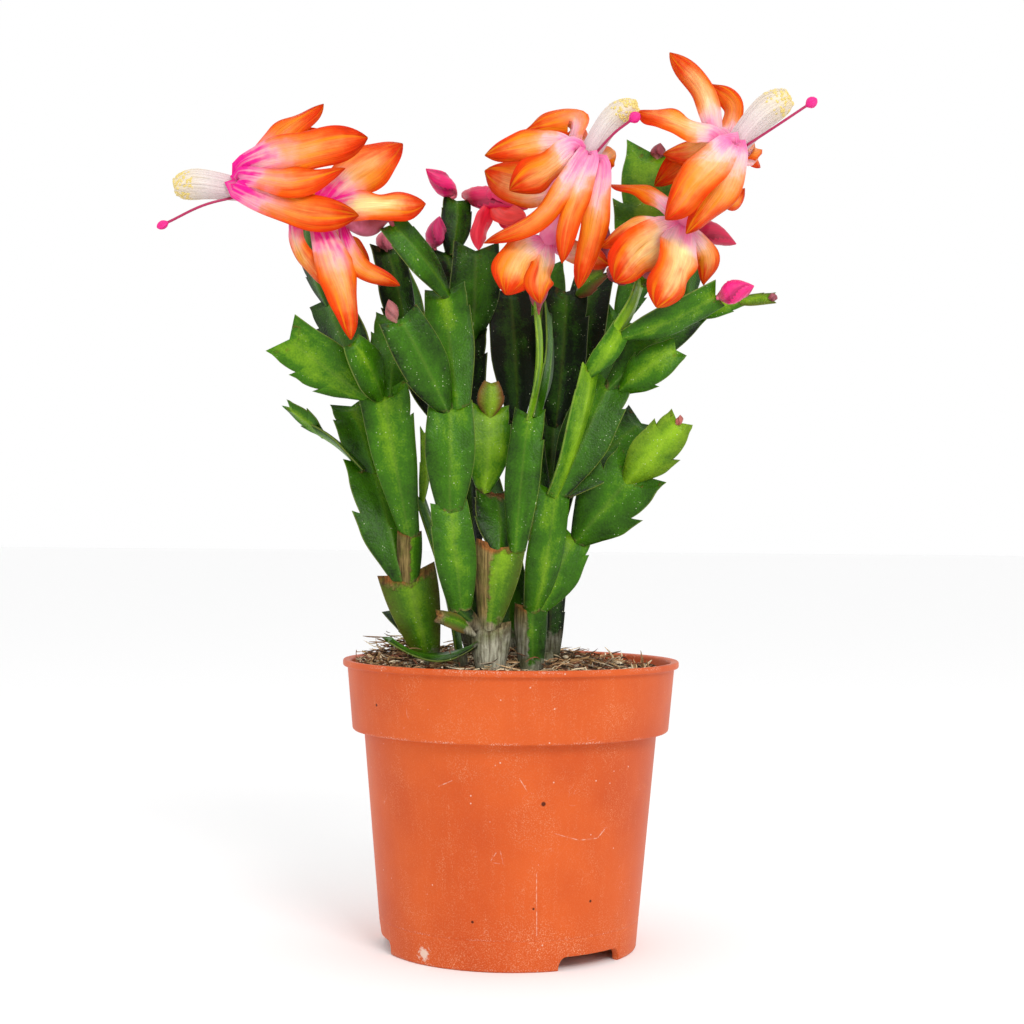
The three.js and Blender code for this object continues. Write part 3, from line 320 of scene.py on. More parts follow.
# The lime spot has a ragged edge, so its distance is stirred by a noise (1.6 mm), whose mean is a half.
stir = add_node(plastic, "TexNoise", {"Vector": place, "Scale": 620, "Detail": 4})
reach = add_node(
    plastic, "VectorMath", {0: place, 1: [k * MM for k in LIME_SPOT["at"]]}, operation="DISTANCE",
)
reach = add_node(
    plastic, "Math", {0: stir.outputs[0], 1: -LIME_SPOT["ragged"] * MM, 2: reach.outputs["Value"]},
    operation="MULTIPLY_ADD",
)
rim = LIME_SPOT["radius"] - LIME_SPOT["ragged"] / 2
marks.append(add_node(plastic, "MapRange", {
    0: reach.outputs[0], 1: (rim - LIME_SPOT["fade"]) * MM, 2: rim * MM, 3: 0.8, 4: 0,
}))
# All these pale marks lie over each other, and the dark spots of wet peat over them.
white = marks[0]
for mark in marks[1:]:
    white = add_node(plastic, "Math", {0: white.outputs[0], 1: mark.outputs[0]}, operation="MAXIMUM")
colour = add_node(
    plastic, "Mix", {0: white.outputs[0], 6: colour, 7: linear(LIME)}, data_type="RGBA",
).outputs[2]
for spot, radius in PEAT_SPOTS:
    away = add_node(plastic, "VectorMath", {0: place, 1: [k * MM for k in spot]}, operation="DISTANCE")
    near = add_node(
        plastic, "MapRange", {0: away.outputs["Value"], 1: 0.6 * radius * MM, 2: radius * MM, 3: 0.9, 4: 0},
    )
    colour = add_node(
        plastic, "Mix", {0: near.outputs[0], 6: colour, 7: linear(PEAT_SPOT)}, data_type="RGBA",
    ).outputs[2]
gloss = add_node(plastic, "MapRange", {0: dusty.outputs[0], 1: 0, 2: 0.5, 3: 0.42, 4: 0.65})
relief = add_node(plastic, "Math", {0: cloudy.outputs[0], 1: grain.outputs[0]}, operation="ADD")
bump = add_node(plastic, "Bump", {"Height": relief.outputs[0], "Distance": 0.00005, "Strength": 0.4})
shader = add_node(plastic, "BsdfPrincipled", {
    "Base Color": colour, "Roughness": gloss.outputs[0], "Normal": bump.outputs[0], "IOR": 1.49,
    "Specular IOR Level": 0.12,
})
add_node(plastic, "OutputMaterial", {"Surface": shader.outputs[0]})

shell = add_piece(mesh_of("nursery_pot", [skin(pot_rings())], 35), plastic, "pot_plastic", "pot")
low = POT["floor_height"] - DRAIN["overrun"]
high = POT["floor_height"] + POT["floor_thickness"] + DRAIN["overrun"]
holes = [
    drill(DRAIN["circle"] * math.cos(turn), DRAIN["circle"] * math.sin(turn), DRAIN["radius"], low, high)
    for turn in 2 * math.pi * np.arange(DRAIN["count"]) / DRAIN["count"]
]
cutter = bpy.data.objects.new("drain_cutter", mesh_of("drain_cutter", holes))
bpy.context.scene.collection.objects.link(cutter)
cut = shell.modifiers.new("drain_holes", "BOOLEAN")
cut.object, cut.operation, cut.solver = cutter, "DIFFERENCE", "EXACT"
bpy.context.view_layer.update()
drained = bpy.data.meshes.new_from_object(shell.evaluated_get(bpy.context.evaluated_depsgraph_get()))
shell.modifiers.clear()
shell.data = drained
drained.name = "nursery_pot"
bpy.data.objects.remove(cutter)

# ---------------------------------------------------------------- soil
# The potting soil is dark peat that has dried brown on top, under a litter of straw-coloured coir, bark
# crumbs and old roots. It was filled by hand, so it is heaped at the left and behind the stems.

SOIL = dict(level=97.5, gap=0.55, flat_edge=57, fade_in=8, rings=70, columns=200)
HEAPS = [(5.5, -38, 12, 24, 26), (5, 12, 26, 26, 20)]  # height, x, y, and how far each spreads both ways
CRUMBS = [(0.55, 2.6), (0.3, 1.1)]  # height and size of the peat crumbs, coarse and fine
SOIL_SEED = 11


def lumps(x, y, size, seed):
    """Smooth random heights from -1 to 1 over a square lattice of that size. Each point blends the four
    random values of its cell, with weights that ease in and out."""
    lattice = np.random.default_rng(seed).uniform(-1, 1, (64, 64))
    u, v = x / size, y / size
    i, j = np.floor(u).astype(int), np.floor(v).astype(int)
    a, b = ((t * t * (3 - 2 * t)) for t in (u - i, v - j))
    at = lambda di, dj: lattice[(i + di) % len(lattice), (j + dj) % len(lattice)]
    low = at(0, 0) * (1 - a) + at(1, 0) * a
    high = at(0, 1) * (1 - a) + at(1, 1) * a
    return low * (1 - b) + high * b


def soil_height(x, y):
    """The heaped surface: a level, with a bell for each heap and slow waves, level again at the wall."""
    heaped = sum(
        height * np.exp(-((x - cx) / sx) ** 2 - ((y - cy) / sy) ** 2) for height, cx, cy, sx, sy in HEAPS
    )
    waves = 0.7 * np.sin(0.31 * x + 1.3) * np.cos(0.27 * y) + 0.4 * np.sin(0.83 * x - 0.71 * y)
    inwards = np.clip((SOIL["flat_edge"] - np.hypot(x, y)) / SOIL["fade_in"], 0, 1)
    return SOIL["level"] + (heaped + waves) * inwards


def soil_rings():
    """Rings up the inside of the pot, then over the top, where peat crumbs roughen the heaped surface."""
    turn = np.arange(SOIL["columns"]) * 2 * math.pi / SOIL["columns"]
    inside = lambda z: float(pot_radius(z)) - POT["wall"] - SOIL["gap"]
    bottom = POT["floor_thickness"] + SOIL["gap"]
    floor = POT["floor_height"] + bottom
    shoulder = POT["band_foot_height"] - SOIL["gap"]
    ledge = POT["band_foot_height"] + 3 * POT["wall"]
    flat = [
        (POT["stand_radius"] - POT["wall"] - 2 * SOIL["gap"], bottom),
        (POT["stand_radius"] + POT["stand_flare"] - POT["wall"] - 2 * SOIL["gap"], floor),
        (inside(floor), floor),
        (inside(shoulder), shoulder),
        (inside(shoulder), ledge),
        (inside(ledge), ledge + POT["softening"]),
        (inside(SOIL["level"]), SOIL["level"] - 2),
    ]
    rings = [np.stack([r * np.cos(turn), r * np.sin(turn), z + 0 * turn], -1) for r, z in flat]
    top = inside(SOIL["level"])
    for share in np.linspace(1, 0.01, SOIL["rings"]):
        x, y = top * share * np.cos(turn), top * share * np.sin(turn)
        rough = sum(up * lumps(x, y, size, SOIL_SEED + k) for k, (up, size) in enumerate(CRUMBS))
        rings.append(np.stack([x, y, soil_height(x, y) + rough], -1))
    return np.array(rings)


# Damp peat: black-brown, matt, in clods of 3 mm, and full of pale fibres half a millimetre wide, which are
# contour bands of a stirred noise of 2.4 mm.
PEAT_DARK, PEAT_BROWN, FIBRE_PALE = "#21170f", "#543d26", "#a58a60"
peat = bare_material("damp_peat")
place = add_node(peat, "TexCoord").outputs["Object"]
clods = add_node(peat, "TexNoise", {"Vector": place, "Scale": 320, "Detail": 6, "Roughness": 0.7})
fibres = add_node(peat, "TexNoise", {"Vector": place, "Scale": 420, "Detail": 2, "Distortion": 3.0})
shade = add_node(peat, "MapRange", {0: clods.outputs[0], 1: 0.35, 2: 0.65})
pale = add_node(peat, "MapRange", {0: fibres.outputs[0], 1: 0.58, 2: 0.66, 3: 0, 4: 0.7})
colour = linear(PEAT_DARK)
for share, tint in ((shade, PEAT_BROWN), (pale, FIBRE_PALE)):
    colour = add_node(
        peat, "Mix", {0: share.outputs[0], 6: colour, 7: linear(tint)}, data_type="RGBA",
    ).outputs[2]
bump = add_node(peat, "Bump", {"Height": clods.outputs[0], "Distance": 0.0012, "Strength": 1.0})
shader = add_node(peat, "BsdfPrincipled", {
    "Base Color": colour, "Roughness": 0.95, "Specular IOR Level": 0.2, "Normal": bump.outputs[0],
})
add_node(peat, "OutputMaterial", {"Surface": shader.outputs[0]})
add_piece(mesh_of("potting_soil", [skin(soil_rings())], 70), peat, "potting_soil", "soil")

# ---------------------------------------------------------------- litter on the soil
# Loose coir fibres, straws, bark chips and crumbs lie on the soil, pale where they dried. Most lie
# nearly flat, some stand up at the rim, and there are more of them at the left and behind.

LITTER_SEED = 5
LITTER_REACH = 54.5
LITTER_EDGE = 55.4  # the ends of fibres stay inside this, clear of the wall
LITTER_COLOURS = ["#ecd4ae", "#d6b284", "#be9868", "#96724c", "#4a3424", "#a4947e", "#b08660", "#f2e2c2",
                  "#3c2c20", "#664630", "#8c563c"]
FIBRES = dict(count=1900, length=(2, 10), radius=(0.13, 0.34), sides=4, steps=5, sag=0.25)
CHIPS = dict(count=1500, size=(0.35, 1.5), sides=6, flat=0.45, dark=0.8, first_dark=3)
LIFT = dict(least=0.3, left=1.0, right=0.55, parting=5)  # how high fibres lie, on the two sides of an x
PILE = dict(x=-42, y=10, spread=15, height=6)  # bits lie on each other here
BARE = dict(starts=12, widens=25, share=0.45)  # this share of the bits at the right is left out
SHREDS = dict(count=5, rise=(0.4, 1.3), radius=0.42, colours=4)
SLANTING = (0.31, 0.87, 0.39)  # a direction that no path of a bar keeps to
STANDING = [(-51, -8, 4), (-48, 2, 6), (-47, -20, 4), (-43, 14, 7), (48, 8, 8), (44, -20, 7), (50, -4, 6),
            (38, 22, 8), (-30, 30, 6), (10, 44, 7), (-53, -14, 4), (-42, -30, 4), (-44, -8, 5),
            (-40, 4, 6), (-37, -16, 4), (-50, 8, 5), (-34, 12, 6), (30, -34, 4)]  # x, y and height of shreds


def bar_rings(path, radii, sides, swell=None):
    """Rings round a path: at each point, a circle of that radius square to the path. Its axes are a fixed
    slanting direction crossed with the path, and both crossed. swell scales the radius point by point."""
    along = np.gradient(path, axis=0)
    along /= np.linalg.norm(along, axis=1, keepdims=True)
    across = np.cross(SLANTING, along)
    across /= np.linalg.norm(across, axis=1, keepdims=True)
    up = np.cross(along, across)
    turn = np.arange(sides) * 2 * math.pi / sides
    reach = np.asarray(radii, float).reshape(-1, 1) * (1 if swell is None else swell)
    circle = across[:, None] * np.cos(turn)[None, :, None] + up[:, None] * np.sin(turn)[None, :, None]
    return path[:, None] + circle * reach[..., None]


def all_over(rings, values):
    """The same values for every point of the rings."""
    return np.broadcast_to(np.array(values, float), (*rings.shape[:2], len(values)))


def tinted(rings, colour):
    """A closed body over the rings, in one colour."""
    return skin(rings, dict(tint=all_over(rings, linear(colour))))


def fibre(draw, foot, yaw, rise, length, radius, colour):
    """A bent fibre: a bar whose middle is pushed aside by a share of its length, pointed at both ends."""
    u = np.linspace(0, 1, FIBRES["steps"])[:, None]
    ahead = np.array([math.cos(yaw) * math.cos(rise), math.sin(yaw) * math.cos(rise), math.sin(rise)])
    aside = np.cross(ahead, draw.normal(size=3))
    bend = aside / np.linalg.norm(aside) * length * draw.uniform(0, FIBRES["sag"])
    path = foot + ahead * length * u + bend * 4 * u * (1 - u)
    reach = np.hypot(path[:, 0], path[:, 1])
    path[:, :2] *= np.minimum(1, LITTER_EDGE / reach)[:, None]
    return tinted(bar_rings(path, radius * np.array([0.4, 1, 1, 0.8, 0.25]), FIBRES["sides"]), colour)


def litter():
    """All the loose bits, each placed by a seeded draw: fibres first, then chips, each a flat lump with a
    random rim, and last the standing shreds. Some of the draws at the right are left out."""
    draw = np.random.default_rng(LITTER_SEED)
    bodies = []
    while len(bodies) < FIBRES["count"] + CHIPS["count"]:
        x, y = draw.uniform(-LITTER_REACH, LITTER_REACH, 2)
        thinned = BARE["share"] * np.clip((x - BARE["starts"]) / BARE["widens"], 0, 1)
        if math.hypot(x, y) > LITTER_REACH or draw.uniform() < thinned:
            continue
        top = float(soil_height(x, y))
        colour = LITTER_COLOURS[draw.integers(len(LITTER_COLOURS))]
        if len(bodies) < FIBRES["count"]:
            length = draw.uniform(*FIBRES["length"])
            away = ((x - PILE["x"]) ** 2 + (y - PILE["y"]) ** 2) / PILE["spread"] ** 2
            loose = draw.exponential(LIFT["right"] if x > LIFT["parting"] else LIFT["left"])
            piled = draw.uniform(0, PILE["height"] * math.exp(-away))
            foot = np.array([x, y, top + (LIFT["least"] + loose + piled)])
            rise = draw.normal(0.04, 0.16)
            radius = draw.uniform(*FIBRES["radius"])
            bodies.append(fibre(draw, foot, draw.uniform(0, 2 * math.pi), rise, length, radius, colour))
        else:
            if draw.uniform() < CHIPS["dark"]:
                colour = LITTER_COLOURS[draw.integers(CHIPS["first_dark"], len(LITTER_COLOURS))]
            size = draw.uniform(*CHIPS["size"])
            centre = np.array([x, y, top + size * CHIPS["flat"] * 0.8])
            tilt = draw.normal(0, 0.35, 2)
            turn = np.arange(CHIPS["sides"]) * 2 * math.pi / CHIPS["sides"]
            rim = size * draw.uniform(0.6, 1.1, CHIPS["sides"])
            ring = np.stack([rim * np.cos(turn), rim * np.sin(turn), 0 * turn], -1)
            ring[:, 2] = ring[:, 0] * tilt[0] + ring[:, 1] * tilt[1]
            thick = np.array([-1, -0.4, 0.5, 1]) * size * CHIPS["flat"]
            shares = [0.5, 1, 0.9, 0.45]
            rings = np.array([centre + ring * s + (0, 0, t) for s, t in zip(shares, thick)])
            bodies.append(tinted(rings, colour))
    for x, y, height in STANDING:
        foot = np.array([x, y, float(soil_height(x, y)) - 1])
        for _ in range(SHREDS["count"]):
            yaw, rise = draw.uniform(0, 2 * math.pi), draw.uniform(*SHREDS["rise"])
            colour = LITTER_COLOURS[draw.integers(SHREDS["colours"])]
            length = height * draw.uniform(0.6, 1.1)
            bodies.append(fibre(draw, foot, yaw, rise, length, SHREDS["radius"], colour))
    return bodies


# Dried plant fibre: matt and pale, with a fine grain (0.7 mm). Each bit keeps one colour of its own.
straw = bare_material("dry_fibre")
place = add_node(straw, "TexCoord").outputs["Object"]
tint = add_node(straw, "Attribute", attribute_name="tint").outputs["Color"]
grain = add_node(straw, "TexNoise", {"Vector": place, "Scale": 1400, "Detail": 3})
shade = add_node(straw, "MapRange", {0: grain.outputs[0], 1: 0.3, 2: 0.7, 3: 0.62, 4: 1.25})
colour = add_node(straw, "VectorMath", {0: tint, "Scale": shade.outputs[0]}, operation="SCALE")
bump = add_node(straw, "Bump", {"Height": grain.outputs[0], "Distance": 0.0003, "Strength": 0.7})
shader = add_node(straw, "BsdfPrincipled", {
    "Base Color": colour.outputs[0], "Roughness": 0.85, "Normal": bump.outputs[0],
    "Specular IOR Level": 0.25,
})
add_node(straw, "OutputMaterial", {"Surface": shader.outputs[0]})
add_piece(mesh_of("soil_litter", litter(), 80), straw, "potting_soil")

# ---------------------------------------------------------------- cuttings
# Seven rooted cuttings. Each is one grown piece: a branching chain of flat fleshy segments with a thick
# midrib and clawed margins, corky and grey where it leaves the soil, with short bristles on the areoles
# in the notches.

VIEWER = dict(distance=642, height=143.5)  # from the pot's axis and from the floor
ROOT = dict(radius=2.6, taper=0.7, depth=12, neck=4, sides=20, look=(0.3, 2.0, 0.0))
CLEARANCE = 0.35  # between pieces that touch on the real plant
BLADE = dict(
    slant=0.3, claw=0.065, horn=2.4, edge=0.4, rib=1.3, rib_width=1.5, spur=0.8, tooth=0.03, rows=24,
    scoop=2.8, wave=0.6,
)
MARGINS = dict(
    smooth=(0, 1), low=(0, 0.4, 1), middle=(0, 0.56, 1), high=(0, 0.8, 1), toothed=(0, 0.4, 0.72, 1),
)  # where along a margin its notches lie
ACROSS = (0, 0.07, 0.14, 0.22, 0.34, 0.5, 0.68, 0.84, 0.94, 0.985, 1)
FORMS = dict(
    leaf=(0.3, 0.5, 0.82), wedge=(0.42, 0.97, 1), barrel=(0.32, 0.45, 0.52), stub=(0.72, 0.7, 0.95),
    stem=(0.52, 0.55, 0.84),
)  # half width at the foot, where along it the widest place is, and half width at the tip
HAIR = dict(radius=0.09, length=(0.8, 2.1), sides=3, seed=3, at_each=2, sunk=0.2, look=(1.2, -1.0, 0.0))

# Each row: name, what it grows from (a segment, the root or a place), where along that one's tip edge,
# its own tip as the viewer sees it (x, z) with its depth, its width, the way it faces, and its tone (how
# bright its green is, 0 to 1). The tone is partly the segment's own colour and partly painted shade: it is
# lowest on the segments deep inside and behind, which stand in shade. cork gives how far it is corky from
# its foot, from its tip and from its left margin, as shares, full how round it is across, red how red its
# margins are, and margins the notches of its right and left margin, which are drawn where a row doesn't
# give them.
CUTTINGS = {
    "cutting_left": dict(root=(-29, -10), segments=[
        ("l0", "root", 0, -37, 130, -14, 20, 8, 0.52,
         dict(cork=(0.12, 0.12, 0), full=0.8, form="wedge", claw=0.3, rib=1.4, bow=1, red=0.25,
              margins=("smooth", "smooth"))),
        ("l1", "l0", 0, -36.8, 146, -15, 9, 5, 0.55,
         dict(cork=(0.1, 0.1, 0.6), full=1, form="stub", claw=0, rib=1.5, bow=0,
              margins=("smooth", "smooth"))),
        ("l2", "l1", 0.1, -46, 195, -22, 17, -6, 0.5,
         dict(cork=(0.04, 0, 0), full=0.9, form="wedge", claw=1.1, margins=("high", "smooth"))),
        ("l3", "l2", -0.8, -78.5, 214.5, -32, 17.5, -20, 0.62,
         dict(full=0.7, claw=1.6, margins=("smooth", "toothed"))),
        ("l4", "l2", -0.25, -57.5, 214, -36, 14, 20, 0.48,
         dict(full=0.9, form="barrel", lift=20, claw=0.4, margins=("smooth", "smooth"))),
        ("l5", "l2", 0.2, -42.5, 221.5, -12, 16, 5, 0.42, dict(full=0.7)),
        ("s1", "l2", -0.5, -66, 229, -4, 19, -35, 0.3, {}),
        ("s2", "s1", -0.1, -74, 255, 2, 13, -50, 0.3, {}),
        ("lb", "l0", -0.35, -50, 168.5, -3, 20, 18, 0.36, dict(claw=1.7, margins=("smooth", "middle"))),
        ("lb1", "lb", -0.4, -68.5, 181.8, 2, 11, 20, 0.5, dict(full=0.9, lift=-76, bow=-1.2)),
        ("lb2", "lb1", 0, -79, 190.5, 0, 8, 20, 0.6,
         dict(form="barrel", lift=-64, bow=-0.8, claw=2.2, rib=0.8)),
        ("lb3", "lb", 0, -57.5, 190.5, 2, 16, 15, 0.42, dict(margins=("smooth", "high"))),
        ("ls", (-31.5, 106, -10.5), 0, -41.5, 118.5, -3, 10, 30, 0.2, dict(cork=(0.15, 0, 0), claw=0.5)),
    ]),
    "cutting_middle": dict(root=(-7.5, -22), segments=[
        ("g0", "root", 0, -7, 113, -24, 13.5, 4, 0.9,
         dict(cork=(2, 0, 0), full=1, form="stub", claw=0.2, rib=1.9, bow=0, margins=("smooth", "smooth"))),
        ("gl", "g0", -0.9, -19, 119, -27, 7, 10, 0.12,
         dict(cork=(0.5, 0, 0), full=1, form="stub", claw=0, rib=1.5, bow=0, margins=("smooth", "smooth"))),
        ("c0", "gl", 0, -22.5, 155, -29, 14.5, 10, 0.5,
         dict(form="stem", cork=(0.06, 0, 0), full=1, claw=0.5, margins=("smooth", "high"))),
        ("c1", "c0", 0, -22.5, 191, -27, 17, 0, 0.46,
         dict(form="stem", full=0.7, claw=0.5, margins=("smooth", "smooth"))),
        ("f1", "c1", -0.2, -40, 222, -38, 17, 12, 0.3, dict(full=0.8, claw=0.5, margins=("smooth", "low"))),
        ("c3", "c1", 0.5, -24.5, 232, -15, 16.5, -8, 0.42,
         dict(form="stem", full=0.7, claw=0.7, margins=("high", "smooth"))),
        ("a7", "c3", 0.1, -43.5, 256.5, -24, 12, 50, 0.4, dict(lift=-15, claw=0.4)),
        ("w0", "g0", -0.2, -4.3, 140.5, -26, 17, -5, 0.6,
         dict(cork=(0.16, 0.08, 0.45), full=0.9, form="wedge", claw=0.2, rib=1.8, bow=0, red=0.2,
              margins=("smooth", "smooth"))),
        ("n0", "w0", -0.1, -6, 160, -13, 17.5, 20, 0.3, dict(cork=(0, 0.14, 0), full=0.5, claw=0.6)),
        ("c2", "n0", -0.75, -8.5, 189.5, -14, 15.5, 10, 0.72,
         dict(full=0.8, claw=0.8, margins=("high", "smooth"))),
        ("c2y", "c2", 0, -8, 200, -15, 9.5, 5, 0.8, dict(full=0.9, red=0.9, form="barrel", claw=0.5, bow=1)),
        ("d2", "w0", 0.85, 5.8, 188, -25, 12, -12, 0.42,
         dict(form="stem", full=1, claw=0.9, rib=1.5, margins=("high", "smooth"))),
        ("d3", "d2", 0, 8.3, 225, -24, 13, 82, 0.85, {}),
        ("d3b", "d2", 0.5, 12.3, 225, -12, 12, 76, 0.4, {}),
        ("limp", (-12, 107, -25), 0, -43, 108.5, -34, 11, 0, 0.35,
         dict(cork=(0.06, 0, 0), lift=82, bow=-5.6, claw=0.3, rib=0.8)),
        ("dry", (-13, 110, -26), 0, -26, 116.5, -31, 7, 20, 0.5,
         dict(cork=(0.35, 0.2, 0), lift=40, claw=0.3, rib=0.6, red=0.5)),
    ]),
    "cutting_right": dict(root=(7, -14), segments=[
        ("r0", "root", 0, 7, 119.5, -15, 12, 15, 0.35,
         dict(cork=(0.2, 0, 0.42), full=1, form="stub", claw=0.2, rib=1.7, bow=0,
              margins=("smooth", "smooth"))),
        ("r1", "r0", 0.1, 14.5, 161, -18, 14, 25, 0.55,
         dict(form="stem", cork=(0.05, 0, 0), full=1, claw=0.5, rib=1.4, margins=("smooth", "high"))),
        ("r1b", "r0", 0.7, 21, 145, -8, 16, 10, 0.5, dict(full=0.7)),
        ("e0", "r1b", 0.4, 41.5, 166.5, -14, 22, -8, 0.42,
         dict(full=0.6, claw=2.1, margins=("middle", "high"))),
        ("f0", "e0", 0, 58, 186, -24, 15.5, 12, 0.85,
         dict(full=0.9, form="barrel", claw=1.8, red=0.15, margins=("middle", "high"))),
        ("g1", "r1", 0.75, 44.5, 185.5, 2, 19, -25, 0.35, dict(claw=1.6, margins=("smooth", "high"))),
        ("h0", "r1", -0.1, 26.5, 205, -24, 14, 62, 0.78, dict(form="stem", full=0.8, claw=0.5, rib=1.4)),
        ("hf", "r1", 0.5, 34, 199.5, -10, 18, -10, 0.4, dict(margins=("high", "smooth"))),
        ("i1", "h0", 0, 37.5, 219.5, -25, 9, 30, 0.66, dict(full=1, form="stem", claw=0.4)),
        ("j1", (33.6, 217.3, -26), 0, 44.5, 237.5, -16, 10, 78, 0.95, {}),
        ("i2", "i1", 0.6, 71, 232.5, -26, 13, 10, 0.5, dict(full=0.8, lift=-40, claw=0.6)),
        ("i4", "hf", 0, 62, 227, -2, 15, -10, 0.35, dict(lift=-10, claw=1.5)),
        ("i5", "hf", 0.7, 57, 212.5, -16, 13.5, 5, 0.55, dict(full=0.8, form="barrel", lift=15, claw=1.4)),
        ("i3", "i4", 0.2, 80, 231, -6, 8, 0, 0.6, dict(form="barrel", lift=10, bow=1)),
        ("i3b", "i3", 0, 90.5, 232, -8, 5, 0, 0.7, dict(red=0.3, lift=30, bow=0, claw=1.2, rib=0.7)),
        ("m2", "j1", 0.9, 50, 280.5, 6, 22, -8, 0.66,
         dict(claw=2.3, full=0.6, margins=("middle", "middle"))),
        ("m3", "i4", -0.3, 61, 254, 8, 13, 30, 0.4, dict(claw=0.8)),
    ]),
    "cutting_shoot": dict(root=(-18, -5), segments=[
        ("t0", "root", 0, -33, 158, -7, 12, 80, 0.55, dict(full=0.9)),
        ("t1", "t0", 0, -31.8, 181, -9, 5, 50, 0.95, dict(claw=1.5, rib=0.7, bow=1)),
    ]),
    "cutting_back_left": dict(root=(-12, 12), segments=[
        ("bl0", "root", 0, -15, 138, 12, 14, -20, 0.1, dict(cork=(0.3, 0, 0), form="stub", claw=0.4)),
        ("bl1", "bl0", 0, -18.5, 180, 12, 16, 35, 0.12, {}),
        ("bl2", "bl1", 0.2, -16, 216, 10, 17, -30, 0.05, {}),
        ("a8", "bl2", 0.2, -14, 246, 2, 17.5, 8, 0.3, dict(claw=1.4)),
        ("p0", "bl2", -0.5, -25, 246, 14, 14, 35, 0.1, {}),
        ("p1", "p0", 0.5, -21, 265, 20, 12, 20, 0.2, dict(claw=0.5)),
        ("q0", "bl1", -0.6, -36, 212, 12, 17, 30, 0.05, {}),
        ("q1", "q0", -0.6, -46, 247, 5, 15, 40, 0.15, {}),
    ]),
    "cutting_back_right": dict(root=(13, 9), segments=[
        ("br0", "root", 0, 13, 140, 10, 13, 20, 0.1, dict(cork=(0.3, 0, 0), form="stub", claw=0.4)),
        ("br1", "br0", 0, 15, 186, 16, 17, -12, 0.05, {}),
        ("br2", "br1", 0, 18.5, 232, 12, 18, 12, 0.1, {}),
        ("k0", "br1", 0.7, 28.5, 238, 30, 17, -18, 0.1, {}),
        ("k1", "br2", 0.7, 31, 240, 8, 9, 10, 0.4, dict(red=0.8, form="barrel", lift=30)),
        ("x0", "br0", -0.7, 3, 186, 6, 14, 15, 0.2, {}),
        ("x1", "x0", -0.4, -1.5, 231, 15, 17, 16, 0.1, {}),
    ]),
    "cutting_back": dict(root=(1, 28), segments=[
        ("bb0", "root", 0, -3, 134, 31, 16, 165, 0.3, dict(cork=(0.3, 0, 0), form="stub", claw=0.4)),
        ("bb1", "bb0", -0.4, -14, 174, 36, 16, 130, 0.35, {}),
        ("bb2", "bb1", -0.4, -33, 208, 43, 17, 150, 0.4, {}),
        ("bb4", "bb2", 0, -42, 240, 52, 14, 125, 0.5, dict(claw=1.4)),
        ("bd1", "bb0", 0.6, 14, 172, 41, 16, 215, 0.35, {}),
        ("bd2", "bd1", 0.5, 38, 222, 44, 18, 210, 0.4, {}),
        ("bd3", "bd1", -0.4, 10, 240, 50, 19, 172, 0.35, {}),
        ("bd4", "bd2", 0.1, 50, 250, 50, 14, 215, 0.5, dict(claw=1.4)),
    ]),
}


def seen(x, z, depth):
    """The point that the viewer sees at x, z against the pot's middle plane, at this depth behind it."""
    scale = (VIEWER["distance"] + depth) / VIEWER["distance"]
    return np.array([x * scale, depth, VIEWER["height"] - (VIEWER["height"] - z) * scale])


def facing(degrees, lift=0):
    """The way a flat side looks: 0 degrees is towards -Y and 90 towards +X, and lift tips it up."""
    a, e = math.radians(degrees), math.radians(lift)
    return np.array([math.sin(a) * math.cos(e), -math.cos(a) * math.cos(e), math.sin(e)])


def unit(vector):
    return vector / np.linalg.norm(vector, axis=-1, keepdims=True)


def square_to(along, direction):
    """The part of direction that is square to along, as a unit vector. Works point by point."""
    return unit(direction - along * (direction * along).sum(-1, keepdims=True))


def margin(lobes, form, claw):
    """Rows of one margin: how far along the midrib, the half width's share, and the spur forwards. The
    share is a swell, a sine up to the widest place and a parabola after it, times a lobe that rises in a
    curve to its claw. Each lobe starts again low, one hundredth on."""
    foot, widest, tip = FORMS[form]
    u, rise, spur = [0.0], [0.5], [0.0]
    for start, end in zip(lobes, lobes[1:]):
        steps = np.linspace(0, 1, BLADE["rows"] // (len(lobes) - 1))
        u += (start + 0.012 + (end - start - 0.012) * steps).tolist()
        lobe = 1 - (1 - steps) ** 2.2 - 0.15 * np.sin(math.pi * np.clip(steps - 0.6, 0, 1) / 0.4)
        rise += np.maximum(lobe, 0.5 * (start == 0)).tolist()
        spur += (np.clip(steps - 0.85, 0, 1) / 0.15).tolist()
    u, rise, spur = np.array(u), np.array(rise), np.array(spur)
    grows = foot + (1 - foot) * np.sin(math.pi / 2 * np.clip(u / widest, 0, 1))
    shrinks = 1 - (1 - tip) * (np.clip(u - widest, 0, 1) / (1 - widest)) ** 2
    swell = np.where(u < widest, grows, shrinks)
    return u, swell * (1 + BLADE["claw"] * claw * (2 * rise - 1)), spur


